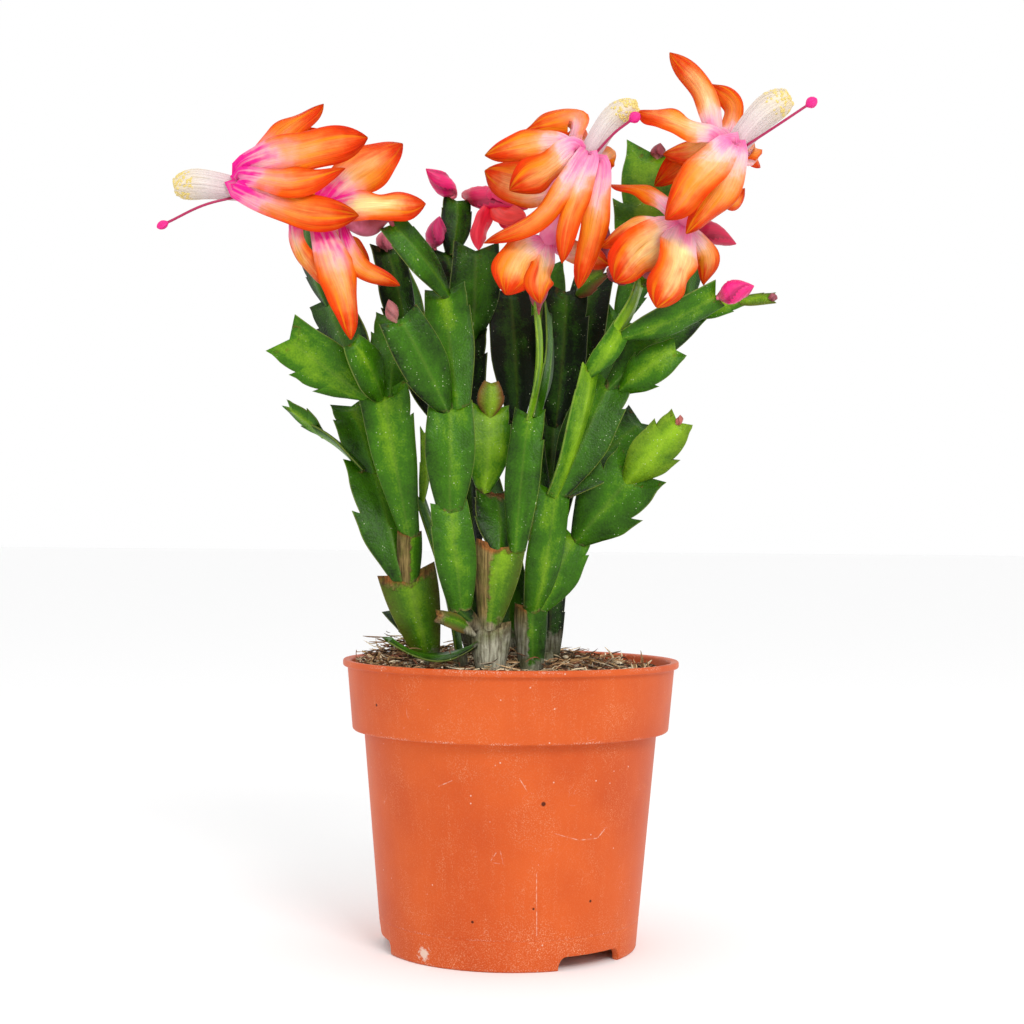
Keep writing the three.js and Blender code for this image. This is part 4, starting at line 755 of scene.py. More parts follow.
def segment(
    draw, foot, tip, width, face, tone, form="leaf", lift=0, bow=2, claw=1, rib=1, cork=(0.03, 0, 0),
    full=0.45, red=0, margins=None,
):
    """One segment from foot to tip, as rings across it, with its traits. Across, its half thickness is
    an edge, and on it a parabola and a bell for the midrib, rounded off where it comes to the margin.
    Towards the tip the rings bend into a scoop, a power of the way out, with a horn at both ends."""
    length = np.linalg.norm(tip - foot)
    along = (tip - foot) / length
    out = square_to(along, facing(face, lift))
    side = np.cross(along, out)
    reach = np.array(ACROSS)
    q = np.concatenate([reach[::-1], -reach[1:], -reach[-2::-1], reach[1:-1]])
    front = np.repeat([1.0, -1.0], [2 * len(reach) - 1, 2 * len(reach) - 3])
    drawn = draw.choice(list(MARGINS), 2)
    rows_right, rows_left = (margin(MARGINS[kind], form, claw) for kind in margins or drawn)
    phase = draw.uniform(0, 2 * math.pi, 2)
    rightwards = q >= 0
    u, share, spur = (np.where(rightwards, r[:, None], l[:, None]) for r, l in zip(rows_right, rows_left))
    mid_u = (rows_right[0] + rows_left[0])[:, None] / 2
    away = np.abs(q)[None]
    # The rows of the two sides differ, so near the midrib each runs over to the mean of both.
    u = mid_u + (u - mid_u) * np.clip(away * 2.5, 0, 1)
    v = q[None] * share * width / 2
    v = v * (1 + BLADE["tooth"] * claw * spur * away ** 4)
    tipwards = np.clip((mid_u - 0.7) / 0.3, 0, 1) ** 2
    outermost = BLADE["slant"] * share * width / 2
    scoop = (outermost + BLADE["horn"] * claw * share) * away ** BLADE["scoop"] - outermost * away
    past = scoop * tipwards + BLADE["spur"] * claw * away ** 5 * spur * (mid_u < 1)
    inwards = np.clip((1 - away) * share * width / 2 / BLADE["edge"], 0, 1)
    raised = rib * BLADE["rib"] * (1.15 - 0.3 * mid_u) - BLADE["edge"]
    bell = np.exp(-(v / (BLADE["rib_width"] * max(rib, 0.8))) ** 2)
    thick = BLADE["edge"] + raised * (full * (1 - away ** 2) + (1 - full) * bell)
    half = thick * np.sqrt(1 - (1 - inwards) ** 2) * front[None]
    ahead = u * length + BLADE["slant"] * np.abs(v) + past
    waved = np.where(rightwards, np.sin(6 * u + phase[0]), np.sin(7 * u + phase[1]))
    lifted = bow * 4 * u * (1 - u) + half + BLADE["wave"] * waved * away ** 2 * (width / 17)
    rings = foot + ahead[..., None] * along + v[..., None] * side + lifted[..., None] * out
    # The tip edge is rounded by one more ring, thinner and a little further on.
    end = rings[-1] + along * 0.3 - out * (half[-1] * 0.45)[:, None]
    rings = np.concatenate([rings, end[None]])
    u, away = np.concatenate([u, u[-1:]]), np.repeat(away, len(rings), 0)
    leftwards = np.broadcast_to(0.5 + 0.5 * q, u.shape)
    corky = np.max([cork[0] - u, cork[1] - 1 + u, cork[2] - leftwards], 0) - 0.05
    # The points of claws and horns are dry and brown-red.
    spiked = np.concatenate([spur, spur[-1:]])
    reddened = red + 0.6 * (spiked == 1) * (away > 0.98)
    traits = dict(
        place=np.stack([u, away, leftwards], -1),
        look=np.stack([np.full(u.shape, tone), corky, reddened], -1),
    )
    tip_edge = foot + along * length
    corner = {
        sign: foot + side * sign * s * width / 2
        + along * (length + BLADE["slant"] * s * width / 2 + BLADE["horn"] * claw * s)
        for sign, s in ((1, rows_right[1][-1]), (-1, rows_left[1][-1]))
    }
    notches = [
        rings[k, j] for j in (0, 2 * len(reach) - 2) for k in np.nonzero(spur[:-1, j] == 1)[0]
    ]

    def seat(share, sink=None):
        sunk = 1.2 + 0.8 * abs(share) if sink is None else sink
        horn = corner[-1 if share < 0 else 1]
        return tip_edge + (horn - tip_edge) * 0.8 * abs(share) - along * sunk

    return dict(body=skin(rings, traits), along=along, side=side, out=out, seat=seat, notches=notches)


def bristles(draw, grown_segment):
    """Short hairs on the areoles in the notches of a segment, each a thin cone."""
    bodies = []
    for at in grown_segment["notches"]:
        for _ in range(HAIR["at_each"]):
            way = unit(grown_segment["along"] + draw.normal(0, 0.5, 3))
            length = draw.uniform(*HAIR["length"])
            path = at - HAIR["sunk"] * way + way * length * np.linspace(0, 1, 3)[:, None]
            rings = bar_rings(path, HAIR["radius"] * np.array([1, 0.7, 0.2]), HAIR["sides"])
            traits = dict(place=all_over(rings, (0, 0, 0)), look=all_over(rings, HAIR["look"]))
            bodies.append(skin(rings, traits))
    return bodies


grown = {}


def cutting_bodies(root, segments):
    """A cutting: its root neck in the soil, then its segments, each on the seat of the one before."""
    top = float(soil_height(*root))
    foot = np.array([*root, top + CLEARANCE * 2])
    neck = np.linspace((*root, top - ROOT["depth"]), (*root, top + ROOT["neck"]), 6)
    radii = ROOT["radius"] * np.array([ROOT["taper"], 0.8, 0.92, 1, 1.06, 0.9])
    rings = bar_rings(neck, radii, ROOT["sides"])
    traits = dict(place=all_over(rings, (0, 0, 0)), look=all_over(rings, ROOT["look"]))
    bodies = [skin(rings, traits)]
    draw = np.random.default_rng(HAIR["seed"])
    for name, on, share, x, z, depth, width, face, tone, extras in segments:
        start = foot if on == "root" else grown[on]["seat"](share) if isinstance(on, str) else seen(*on)
        grown[name] = segment(draw, start, seen(x, z, depth), width, face, tone, **extras)
        bodies.append(grown[name]["body"])
        bodies += bristles(draw, grown[name])
    return bodies


# Fleshy green skin with a waxy cuticle: satin, lengthwise lighter and darker, with a thin pale margin and
# a few white specks (dried pores and splashes, up to half a millimetre wide). Old skin at the foot and at
# torn tips is tan cork with fine lengthwise cracks, grey near the soil.
SKIN_DARK, SKIN_MIDDLE, SKIN_BRIGHT, SKIN_PALE = "#081502", "#386a05", "#86b01a", "#94a348"
CALLUS, PORE = "#a8642e", "#c9d2ae"
CORK, CORK_MOSSY, CORK_DARK, CORK_GREY, SKIN_RED = "#97814e", "#5a6026", "#3a2a16", "#b2b29e", "#7d3a2c"
skin_green = bare_material("waxy_cactus_skin")
place = add_node(skin_green, "TexCoord").outputs["Object"]
spot = add_node(skin_green, "SeparateXYZ", {
    0: add_node(skin_green, "Attribute", attribute_name="place").outputs["Vector"],
})
look = add_node(skin_green, "SeparateXYZ", {
    0: add_node(skin_green, "Attribute", attribute_name="look").outputs["Vector"],
})
# Blotches of 8 mm and a grain of 0.7 mm make the green brighter and darker.
blotch = add_node(skin_green, "TexNoise", {"Vector": place, "Scale": 130, "Detail": 5, "Roughness": 0.6})
fine = add_node(skin_green, "TexNoise", {"Vector": place, "Scale": 1500, "Detail": 2})
blotched = add_node(skin_green, "MapRange", {0: blotch.outputs[0], 1: 0.3, 2: 0.7, 3: -0.14, 4: 0.14})
grained = add_node(skin_green, "MapRange", {0: fine.outputs[0], 1: 0.3, 2: 0.7, 3: -0.07, 4: 0.07})
# Soft lengthwise bands: a noise in the segment's own length and width, moved on by its place in the plant.
bands = add_node(skin_green, "VectorMath", {0: place, 1: (40, 40, 25)}, operation="MULTIPLY")
own = add_node(skin_green, "CombineXYZ", {0: spot.outputs[0], 1: spot.outputs[2]})
own = add_node(skin_green, "VectorMath", {0: own.outputs[0], 1: (1.0, 3, 0)}, operation="MULTIPLY")
bands = add_node(skin_green, "VectorMath", {0: bands.outputs[0], 1: own.outputs[0]}, operation="ADD")
bands = add_node(skin_green, "TexNoise", {"Vector": bands.outputs[0], "Scale": 1.0, "Detail": 3})
banded = add_node(skin_green, "MapRange", {0: bands.outputs[0], 1: 0.3, 2: 0.7, 3: -0.13, 4: 0.13})
# The tip end of a segment is younger and a little brighter than its foot. Its middle is painted lighter
# and its sides darker: painted highlight and painted shade of the segment's rounded body.
young = add_node(skin_green, "MapRange", {0: spot.outputs[0], 3: -0.05, 4: 0.07})
sides = add_node(skin_green, "MapRange", {0: spot.outputs[1], 1: 0.08, 2: 0.97, 3: 0.08, 4: -0.24})
# The sum takes in the segment's own tone from its row: partly its own colour, and partly painted shade, low
# on the segments deep inside and behind.
tone = blotched.outputs[0]
for change in (banded, look, young, sides, grained):
    tone = add_node(skin_green, "Math", {0: tone, 1: change.outputs[0]}, operation="ADD").outputs[0]
green = add_node(skin_green, "ValToRGB", {0: tone})
green.color_ramp.elements[0].color = linear(SKIN_DARK)
green.color_ramp.elements[1].color = linear(SKIN_BRIGHT)
green.color_ramp.elements.new(0.5).color = linear(SKIN_MIDDLE)
# The margin and the midrib are paler.
edge = add_node(skin_green, "MapRange", {0: spot.outputs[1], 1: 0.955, 2: 1.0, 3: 0, 4: 0.45})
rib = add_node(skin_green, "MapRange", {0: spot.outputs[1], 1: 0.0, 2: 0.12, 3: 0.1, 4: 0})
pale = add_node(skin_green, "Math", {0: edge.outputs[0], 1: rib.outputs[0]}, operation="MAXIMUM")
# Each speck is a round spot in a cell of 0.7 mm. Its size is the cell's own, and most cells have none.
cells = add_node(skin_green, "TexVoronoi", {"Vector": place, "Scale": 1500})
some = add_node(skin_green, "SeparateColor", {0: cells.outputs["Color"]})
some = add_node(skin_green, "Math", {0: some.outputs[0], 1: blotch.outputs[0]}, operation="ADD")
some = add_node(skin_green, "MapRange", {0: some.outputs[0], 1: 1.3, 2: 1.6, 3: 0, 4: 0.36})
pores = add_node(
    skin_green, "Math", {0: some.outputs[0], 1: cells.outputs["Distance"]}, operation="SUBTRACT",
)
pores = add_node(skin_green, "MapRange", {0: pores.outputs[0], 1: 0.0, 2: 0.15, 3: 0, 4: 0.75})
# Red comes in from the margins, as strongly as the segment's own share for it says.
blush = add_node(skin_green, "MapRange", {0: spot.outputs[1], 1: 0.3, 2: 0.95, 3: 0.15, 4: 0.9})
blush = add_node(skin_green, "Math", {0: blush.outputs[0], 1: look.outputs[2]}, operation="MULTIPLY")
colour = green.outputs[0]
for share, tint in ((pale, SKIN_PALE), (pores, PORE), (blush, SKIN_RED)):
    colour = add_node(
        skin_green, "Mix", {0: share.outputs[0], 6: colour, 7: linear(tint)}, data_type="RGBA",
    ).outputs[2]
# Cork begins where the segment's own share for it, stirred by a noise of 2.4 mm, is above nought. Its
# cracks are 0.8 mm apart and some 9 mm long.
bark_space = add_node(skin_green, "Mapping", {"Vector": place, "Scale": (1300, 1300, 110)})
bark = add_node(skin_green, "TexNoise", {"Vector": bark_space.outputs[0], "Scale": 1, "Detail": 4})
patch = add_node(skin_green, "TexNoise", {"Vector": place, "Scale": 420, "Detail": 4})
patch = add_node(skin_green, "MapRange", {0: patch.outputs[0], 1: 0.3, 2: 0.7, 3: -0.07, 4: 0.07})
patch = add_node(skin_green, "Math", {0: look.outputs[1], 1: patch.outputs[0]}, operation="ADD")
corky = add_node(skin_green, "MapRange", {0: patch.outputs[0], 1: -0.03, 2: 0.05})
# The wood is rusty at a torn tip, grey low down, mossy in blotches and dark in its cracks.
height = add_node(skin_green, "SeparateXYZ", {0: place})
callus = add_node(skin_green, "MapRange", {0: spot.outputs[0], 1: 0.93, 2: 0.99, 3: 0, 4: 0.85})
low = add_node(skin_green, "MapRange", {0: height.outputs[2], 1: 0.111, 2: 0.119, 3: 0.92, 4: 0})
mossy = add_node(skin_green, "MapRange", {0: blotch.outputs[0], 1: 0.42, 2: 0.62, 3: 0, 4: 0.75})
cracks = add_node(skin_green, "MapRange", {0: bark.outputs[0], 1: 0.36, 2: 0.6, 3: 0.7, 4: 0})
wood = linear(CORK)
for share, tint in ((callus, CALLUS), (low, CORK_GREY), (mossy, CORK_MOSSY), (cracks, CORK_DARK)):
    wood = add_node(
        skin_green, "Mix", {0: share.outputs[0], 6: wood, 7: linear(tint)}, data_type="RGBA",
    ).outputs[2]
# Painted shade: the cork follows the segment's tone, which is partly painted shade, and is painted darker
# towards the margins, where shade falls on the rounded sides.
bark_tone_and_shade = add_node(skin_green, "MapRange", {0: look.outputs[0], 3: 0.45, 4: 1.3})
painted_shade_margins = add_node(skin_green, "MapRange", {0: spot.outputs[1], 1: 0.45, 2: 1.0, 3: 1.0, 4: 0.5})
bark_tone_and_shade = add_node(
    skin_green, "Math", {0: bark_tone_and_shade.outputs[0], 1: painted_shade_margins.outputs[0]}, operation="MULTIPLY",
)
wood = add_node(skin_green, "VectorMath", {0: wood, "Scale": bark_tone_and_shade.outputs[0]}, operation="SCALE")
colour = add_node(
    skin_green, "Mix", {0: corky.outputs[0], 6: colour, 7: wood.outputs[0]}, data_type="RGBA",
).outputs[2]
rough = add_node(skin_green, "MapRange", {0: corky.outputs[0], 1: 0, 2: 1, 3: 0.33, 4: 0.85})
corked = add_node(skin_green, "Math", {0: bark.outputs[0], 1: corky.outputs[0]}, operation="MULTIPLY")
relief = fine
for raised, strength in ((corked, 5.0), (blotch, 2.0)):
    relief = add_node(
        skin_green, "Math", {0: raised.outputs[0], 1: strength, 2: relief.outputs[0]},
        operation="MULTIPLY_ADD",
    )
bump = add_node(skin_green, "Bump", {"Height": relief.outputs[0], "Distance": 0.0003, "Strength": 0.7})
shader = add_node(skin_green, "BsdfPrincipled", {
    "Base Color": colour, "Roughness": rough.outputs[0], "Normal": bump.outputs[0], "IOR": 1.45,
    "Specular IOR Level": 0.18,
})
add_node(skin_green, "OutputMaterial", {"Surface": shader.outputs[0]})
for name, described in CUTTINGS.items():
    add_piece(
        mesh_of(name + "_plant", cutting_bodies(**described)), skin_green, "green_stem_segments", name,
    )

# ---------------------------------------------------------------- blooms
# Three open blooms. Each is one grown piece: a round ovary, a tube, and thin silky tepals that part from
# it in tiers and bend back. They are orange with pink-white roots, and magenta in the left one's throat.

BLOOMS = dict(
    bloom_left=dict(
        on=("a7", 0), axis=[(-53, 256.5, -24), (-74, 262.5, -25), (-97, 270, -26)],
        stamens=[(-111, 271.2, -27), (-122, 270.2, -28)], style=[(-111, 264, -31), (-124.5, 257.5, -33)],
        thickness=5.2, throat=1.0,
        tepals=[
            (1, (-84, 289.5, -22), (-69, 300.5, -18), 9.5, 20, 50, 0.1),
            (1, (-76, 283.5, -36), (-53, 288.5, -34), 15, -8, 0, 0.25),
            (1, (-80, 273.5, -40), (-61, 277.5, -38), 10, 0, 0, 0.2),
            (1, (-76, 261.5, -38), (-56, 260.5, -36), 12, 0, 0, 0.2),
            (0.5, (-58, 276, -20), (-40.5, 286.5, -16), 18, -10, 0, 0.45),
            (0.5, (-52, 264.5, -33), (-32, 265, -28), 12, -5, 0, 1.0),
            (0.38, (-61.5, 236, -38), (-58.5, 216, -42), 13.5, 8, 0, 0.4),
            (0.25, (-56, 243, -31), (-41, 235.5, -30), 7, 10, 0, 0.3),
            (0.63, (-77.5, 247, -31), (-67.5, 235, -31), 8.5, -30, 0, 0.4),
            (1, (-82, 283, -11), (-62, 288, -3), 13, 150, 30, 0.1),
            (1, (-80, 268, -7), (-58, 268, -1), 13, 180, 0, 0.1),
            (0.5, (-62, 254, -11), (-52, 243, -4), 10, 165, 0, 0.1),
        ],
    ),
    bloom_middle=dict(
        on=("d3", 0), axis=[(8.4, 231, -25), (12, 254, -26), (25, 281, -31)],
        stamens=[(34, 295.5, -34), (43, 301, -38)], style=[(34.5, 290, -38), (41, 295.3, -41)],
        thickness=4, throat=0.52,
        tepals=[
            (1, (20, 297, -26), (3, 291.5, -21), 10, -25, 50, 0.1),
            (1, (8.5, 288, -34), (-11, 282.5, -30), 11, -10, 15, 0.3),
            (1, (11, 277.5, -39), (-2, 270, -37), 12, 0, 0, 0.3),
            (0.75, (0, 272.5, -16), (-11, 277, -12), 15, -5, 0, 0.7),
            (1, (10, 261.5, -44), (-11, 251, -40), 8, 0, 0, 0.2),
            (1, (20, 262, -45), (17, 244, -43), 8.5, 5, 0, 0.2),
            (1, (28.5, 256, -36), (23, 235, -36), 9.5, 15, 0, 0.2),
            (1, (35.5, 283, -24), (33, 273, -20), 9, 60, 0, 0.2),
            (0.5, (3, 246.5, -37), (-3, 232.5, -38), 16, -5, 0, 0.5),
            (0.38, (10, 240, -36), (9.5, 229.5, -37), 11, 5, 0, 0.5),
            (0.38, (27, 247, -20), (34, 243.5, -16), 9, 10, 0, 0.4),
            (1, (22, 286, -10), (12, 276, -2), 12, 160, 0, 0.1),
            (1, (20, 268, -10), (14, 254, -4), 12, 175, 0, 0.1),
        ],
    ),
    bloom_right=dict(
        on=("j1", -0.6), axis=[(49, 242, -20.5), (60, 258, -22), (77, 285.5, -29)],
        stamens=[(88.5, 298, -32), (98, 304.5, -35)], style=[(94, 294.3, -38), (104.3, 301.3, -40)],
        thickness=5.4, throat=0.42,
        tepals=[
            (1, (67, 306, -27), (55, 320, -22), 9, -20, 0, 0.6),
            (1, (78, 301, -17), (69.5, 309, -12), 7.5, -10, 0, 0.1),
            (1, (60, 294.5, -32), (43.5, 299, -28), 11, -8, 20, 0.5),
            (1, (62, 285, -16), (53, 283.5, -10), 11, -10, 0, 0.3),
            (1, (66, 275.5, -43.5), (54, 260, -42.5), 14.5, -5, 0, 0.35),
            (1, (74.5, 271, -39.5), (61.5, 255, -37.5), 13, 15, 0, 0.3),
            (1, (86, 287, -27), (88, 279, -20), 9, 40, 0, 0.2),
            (0.75, (79, 267, -16), (82.5, 271.5, -12), 7, 10, 0, 0.2),
            (0.38, (46, 249, -36), (36, 237.5, -36), 17, -5, 0, 0.9),
            (0.38, (58, 242.5, -37), (51, 228.5, -38), 17.5, 10, 0, 0.9),
            (0.38, (41.5, 258, -32), (30.5, 250, -30), 8, -10, 30, 0.4),
            (0.5, (70, 247, -20), (68, 236.5, -16), 8, 25, 0, 0.3),
            (0.5, (50, 269.5, -17), (34, 272.5, -10), 9, -5, 30, 0.0),
            (1, (72, 270, -12), (62, 256, -6), 13, 170, 0, 0.1),
            (1, (64, 282, -10), (50, 272, -6), 12, 165, 0, 0.1),
        ],
    ),
)  # a tepal: where along the tube it parts, a middle point, its tip, width, facing, lift and glow
TEPAL = dict(
    steps=36, across=14, half=0.28, thin=0.12, root=0.42, widest=0.56, tip=0.04, broad=11,
    cup=1.2, wave=2.1, sway=1.1, crease=1.1, twist=34, ragged=0.19,
)  # root and tip are shares of the half width, and one narrower than broad waves less
TUBE = dict(
    foot=2.2, waist=3.4, mouth=5.6, lip=3.2, slim=0.94, fold=0.05, steps=20, sides=40, lobes=5,
    cad_steps=5,
)
OVARY = dict(radii=(0.7, 1.2, 3.1, 3.5, 2.8, 2.3), stalk=3, rows=26, sides=24)


def point_at(path, at, places=None):
    """Points of the path at these places, between which it runs straight. The places count the path's
    own points, unless another measure is given for them."""
    places = range(len(path)) if places is None else places
    return np.stack([np.interp(at, places, path[:, k]) for k in range(3)], -1)


def curve_through(points, steps):
    """Even steps along the smooth curve through the points. Each span is a cubic whose slope at a point
    is half the way from the point before it to the point after it."""
    points = np.array(points, float)
    padded = np.concatenate([[2 * points[0] - points[1]], points, [2 * points[-1] - points[-2]]])
    t = np.linspace(0, 1, 60)[:, None]
    spans = []
    for before, start, end, after in zip(padded, padded[1:], padded[2:], padded[3:]):
        leaving, arriving = (end - before) / 2, (after - start) / 2
        spans.append(
            start * (2 * t ** 3 - 3 * t ** 2 + 1) + leaving * (t ** 3 - 2 * t ** 2 + t)
            + end * (3 * t ** 2 - 2 * t ** 3) + arriving * (t ** 3 - t ** 2)
        )
    dense = np.concatenate(spans)
    travelled = np.concatenate([[0], np.cumsum(np.linalg.norm(np.diff(dense, axis=0), axis=1))])
    return point_at(dense, np.linspace(0, travelled[-1], steps + 1), travelled)


def graded(rings, levels):
    """Values for the points of the rings: the level of each ring, and two noughts."""
    values = np.zeros((*rings.shape[:2], 3))
    values[..., 0] = np.asarray(levels)[:, None]
    return values


def tepal(points, width, face, lift, look, draw):
    """A tepal as rings across it. Its half width is a sine up to its widest place and a power of the way
    on from there down to its point. Its margins lie back and wave on their own sines, coarse and fine, its
    whole width sways on a slower one and turns a little about the path, and a crease runs along the
    middle."""
    t = TEPAL
    path = curve_through(points, t["steps"])
    along = unit(np.gradient(path, axis=0))
    out = square_to(along, facing(face, lift)[None])
    side = np.cross(along, out)
    u = np.linspace(0, 1, t["steps"] + 1)[:, None]
    turned = np.radians(t["twist"] * draw.uniform(-1, 1)) * np.sin(2.2 * u)
    side, out = side * np.cos(turned) + out * np.sin(turned), out * np.cos(turned) - side * np.sin(turned)
    rise = t["root"] + (1 - t["root"]) * np.sin(math.pi / 2 * np.clip(u / t["widest"], 0, 1))
    nearing = np.clip(u - t["widest"], 0, 1) / (1 - t["widest"])
    fall = np.maximum(1 - nearing ** draw.uniform(2, 3.4), 0) ** 0.8
    share = np.maximum(np.where(u < t["widest"], rise, fall), t["tip"])
    reach = np.sin(np.linspace(-math.pi / 2, math.pi / 2, t["across"] + 1))
    q = np.concatenate([reach, reach[-2:0:-1]])
    front = np.repeat([1.0, -1.0], [len(reach), len(reach) - 2])
    margin_off = np.clip((1 - np.abs(q)) * 12, 0, 1)
    half = (t["thin"] + (t["half"] - t["thin"]) * (1 - q ** 2)) * np.sqrt(1 - (1 - margin_off) ** 2) * front
    phase, pace = draw.uniform(0, 2 * math.pi, 3), draw.uniform(6, 10, 2)
    free = np.clip(3 * u - 0.6, 0, 1) * np.clip(1 - u, 0, 1) ** 0.4
    beat = np.where(q > 0, np.sin(pace[0] * u + phase[0]), np.sin(pace[1] * u + phase[1]))
    crumple = np.where(q > 0, np.sin(2.6 * pace[0] * u + phase[1]), np.sin(2.3 * pace[1] * u + phase[2]))
    size = min(1.0, width / t["broad"])
    wave = size * t["wave"] * (np.abs(q) ** 1.6 * beat + 0.22 * np.abs(q) * crumple) * free
    sway = size * t["sway"] * np.sin(5 * u + phase[2]) * free
    crease = -size * t["crease"] * np.exp(-(q / 0.2) ** 2) * free
    curl = 1 + 1.2 * u ** 2
    bays = np.where(q > 0, np.sin(pace[1] * u + phase[1]), np.sin(pace[0] * 1.3 * u + phase[2]))
    ragged = 1 + size * t["ragged"] * bays * free
    v = (q + draw.uniform(-0.15, 0.15) * (1 - q ** 2)) * share * ragged * width / 2
    depth = -t["cup"] * share * curl * q ** 2 + wave + sway + crease + half * np.clip(1.05 - u ** 6, 0, 1)
    rings = path[:, None] + v[..., None] * side[:, None] + depth[..., None] * out[:, None]
    own_streaks = np.full(v.shape, draw.uniform())
    place = np.stack(np.broadcast_arrays(0.15 + 0.85 * u, q[None], own_streaks), -1)
    return skin(rings, dict(place=place, look=all_over(rings, look)))


def bloom_flower(name, on, axis, stamens, style, thickness, throat, tepals):
    """The ovary, tube and tepals of a bloom, with the tube's mouth and direction for what stands in it."""
    draw = np.random.default_rng(len(name))
    cad_tube = curve_through([seen(*p) for p in axis], TUBE["cad_steps"])
    along = unit(cad_tube[-1] - cad_tube[-2])
    radius_at = lambda u: np.where(
        u < 0.5,
        TUBE["foot"] + (TUBE["waist"] - TUBE["foot"]) * np.sin(math.pi * u),
        TUBE["waist"] + (TUBE["mouth"] - TUBE["waist"]) * np.clip(2 * u - 1, 0, 1) ** 1.5,
    )
    tube = curve_through([seen(*p) for p in axis], TUBE["steps"])
    u = np.linspace(0, 1, TUBE["steps"] + 1)
    turn = np.arange(TUBE["sides"]) / TUBE["sides"]
    fold = 1 - TUBE["fold"] * np.abs(np.sin(math.pi * TUBE["lobes"] * turn))[None]
    rings = bar_rings(tube, radius_at(u) * TUBE["slim"], TUBE["sides"], fold)
    # The mouth is a hollow: the last rings turn in and go down the throat.
    inner = [rings[-1 - k] + (tube[-1 - k] - rings[-1 - k]) * s for k, s in ((0, 0.12), (2, 0.3), (5, 0.5))]
    rings = np.concatenate([rings, inner])
    place = graded(rings, [*(0.15 + 0.2 * u), 0.35, 0.25, 0.15])
    bodies = [skin(rings, dict(place=place, look=all_over(rings, (0.3, throat, 0.5))))]
    bearer, share = on
    foot = grown[bearer]["seat"](share, -CLEARANCE)
    head = foot + grown[bearer]["along"] * OVARY["stalk"]
    rows = OVARY["rows"]
    knob = curve_through([foot, head, cad_tube[0], cad_tube[1]], rows - 1)
    radii = np.interp(np.linspace(0, 5, rows), range(6), OVARY["radii"])
    radii = np.convolve(np.pad(radii, 2, "edge"), np.ones(5) / 5, "valid")
    rings = bar_rings(knob, radii, OVARY["sides"])
    place = graded(rings, np.linspace(0, 0.12, rows))
    bodies.append(skin(rings, dict(place=place, look=all_over(rings, (0, 0, 0.5)))))
    for share, through, tip, width, face, lift, glow in tepals:
        i = round(share * TUBE["cad_steps"])
        middle = seen(*through)
        outwards = square_to(along, middle - cad_tube[i])
        radius = float(radius_at(i / TUBE["cad_steps"]))
        path = [cad_tube[i] + outwards * radius * 0.55]
        if share == 1:
            path.append(cad_tube[i] + outwards * (radius + TUBE["lip"] * 0.6) + along * TUBE["lip"] * 0.5)
        path += [middle, seen(*tip)]
        bodies.append(tepal(path, width, face, lift, (glow, throat, draw.uniform(0, 1)), draw))
    return bodies, cad_tube[-1], along


# Silky tepals: thin wet cells that let light through, satin, with fine lengthwise veins. Colour runs along
# each from a pink-white root through gold-orange to a red-orange tip and margin. In the throat, magenta
# lies in streaks over the white.
RAMP = [(0.0, "#a04c56"), (0.09, "#c86a84"), (0.15, "#e98fae"), (0.22, "#f4b4c8"), (0.3, "#fad8dc"),
        (0.38, "#f7d3ce"), (0.46, "#f0a560"), (0.55, "#ec7c0a"), (0.7, "#e66003"), (0.87, "#d63c02"),
        (1.0, "#a82002")]
MAGENTA, GLOW, GOLD, EDGE_RED = "#ea1a8c", "#ffdf98", "#f29208", "#cc2802"
silk = bare_material("silky_tepal")
own = add_node(silk, "Attribute", attribute_name="place").outputs["Vector"]
spot = add_node(silk, "SeparateXYZ", {0: own})
look = add_node(silk, "SeparateXYZ", {
    0: add_node(silk, "Attribute", attribute_name="look").outputs["Vector"],
})
# Veins run along each tepal in its own length and width, and broad streaks over several of them.
place = add_node(silk, "TexCoord").outputs["Object"]
vein_space = add_node(silk, "Mapping", {"Vector": own, "Scale": (2.8, 19, 9)})
veins = add_node(silk, "TexNoise", {"Vector": vein_space.outputs[0], "Scale": 1, "Detail": 3})
broad_space = add_node(silk, "Mapping", {"Vector": vein_space.outputs[0], "Scale": (0.8, 0.15, 1)})
broad = add_node(silk, "TexNoise", {"Vector": broad_space.outputs[0], "Scale": 1, "Detail": 2})
# How far along the ramp a spot is: its own place, shifted by a mottle of 6 mm. The pink reaches further
# along the middle of a tepal than along its margins.
mottle = add_node(silk, "TexNoise", {"Vector": place, "Scale": 170, "Detail": 4})
shift = add_node(silk, "MapRange", {0: mottle.outputs[0], 1: 0.3, 2: 0.7, 3: -0.1, 4: 0.03})
off = add_node(silk, "Math", {0: spot.outputs[1]}, operation="ABSOLUTE")
creep = add_node(silk, "MapRange", {0: off.outputs[0], 3: -0.04, 4: 0.08})
ahead = add_node(silk, "MapRange", {0: spot.outputs[0], 1: 0.15, 2: 0.35})
creep = add_node(silk, "Math", {0: creep.outputs[0], 1: ahead.outputs[0]}, operation="MULTIPLY")
level = spot.outputs[0]
for change in (shift, creep):
    level = add_node(silk, "Math", {0: level, 1: change.outputs[0]}, operation="ADD").outputs[0]
base = add_node(silk, "ValToRGB", {0: level})
base.color_ramp.elements[0].color = linear(RAMP[0][1])
base.color_ramp.elements[1].color = linear(RAMP[-1][1])
for at, colour in RAMP[1:-1]:
    base.color_ramp.elements.new(at).color = linear(colour)
# Magenta lies near the root, in the broad streaks, as strongly as the bloom's own throat says.
pinker = add_node(silk, "MapRange", {0: level, 1: 0.28, 2: 0.62, 3: 1.05, 4: 0})
streaky = add_node(silk, "MapRange", {0: broad.outputs[0], 1: 0.4, 2: 0.6, 3: 0.6, 4: 1.2})
pinker = add_node(silk, "Math", {0: pinker.outputs[0], 1: streaky.outputs[0]}, operation="MULTIPLY")
pinker = add_node(
    silk, "Math", {0: pinker.outputs[0], 1: look.outputs[1]}, operation="MULTIPLY", use_clamp=True,
)
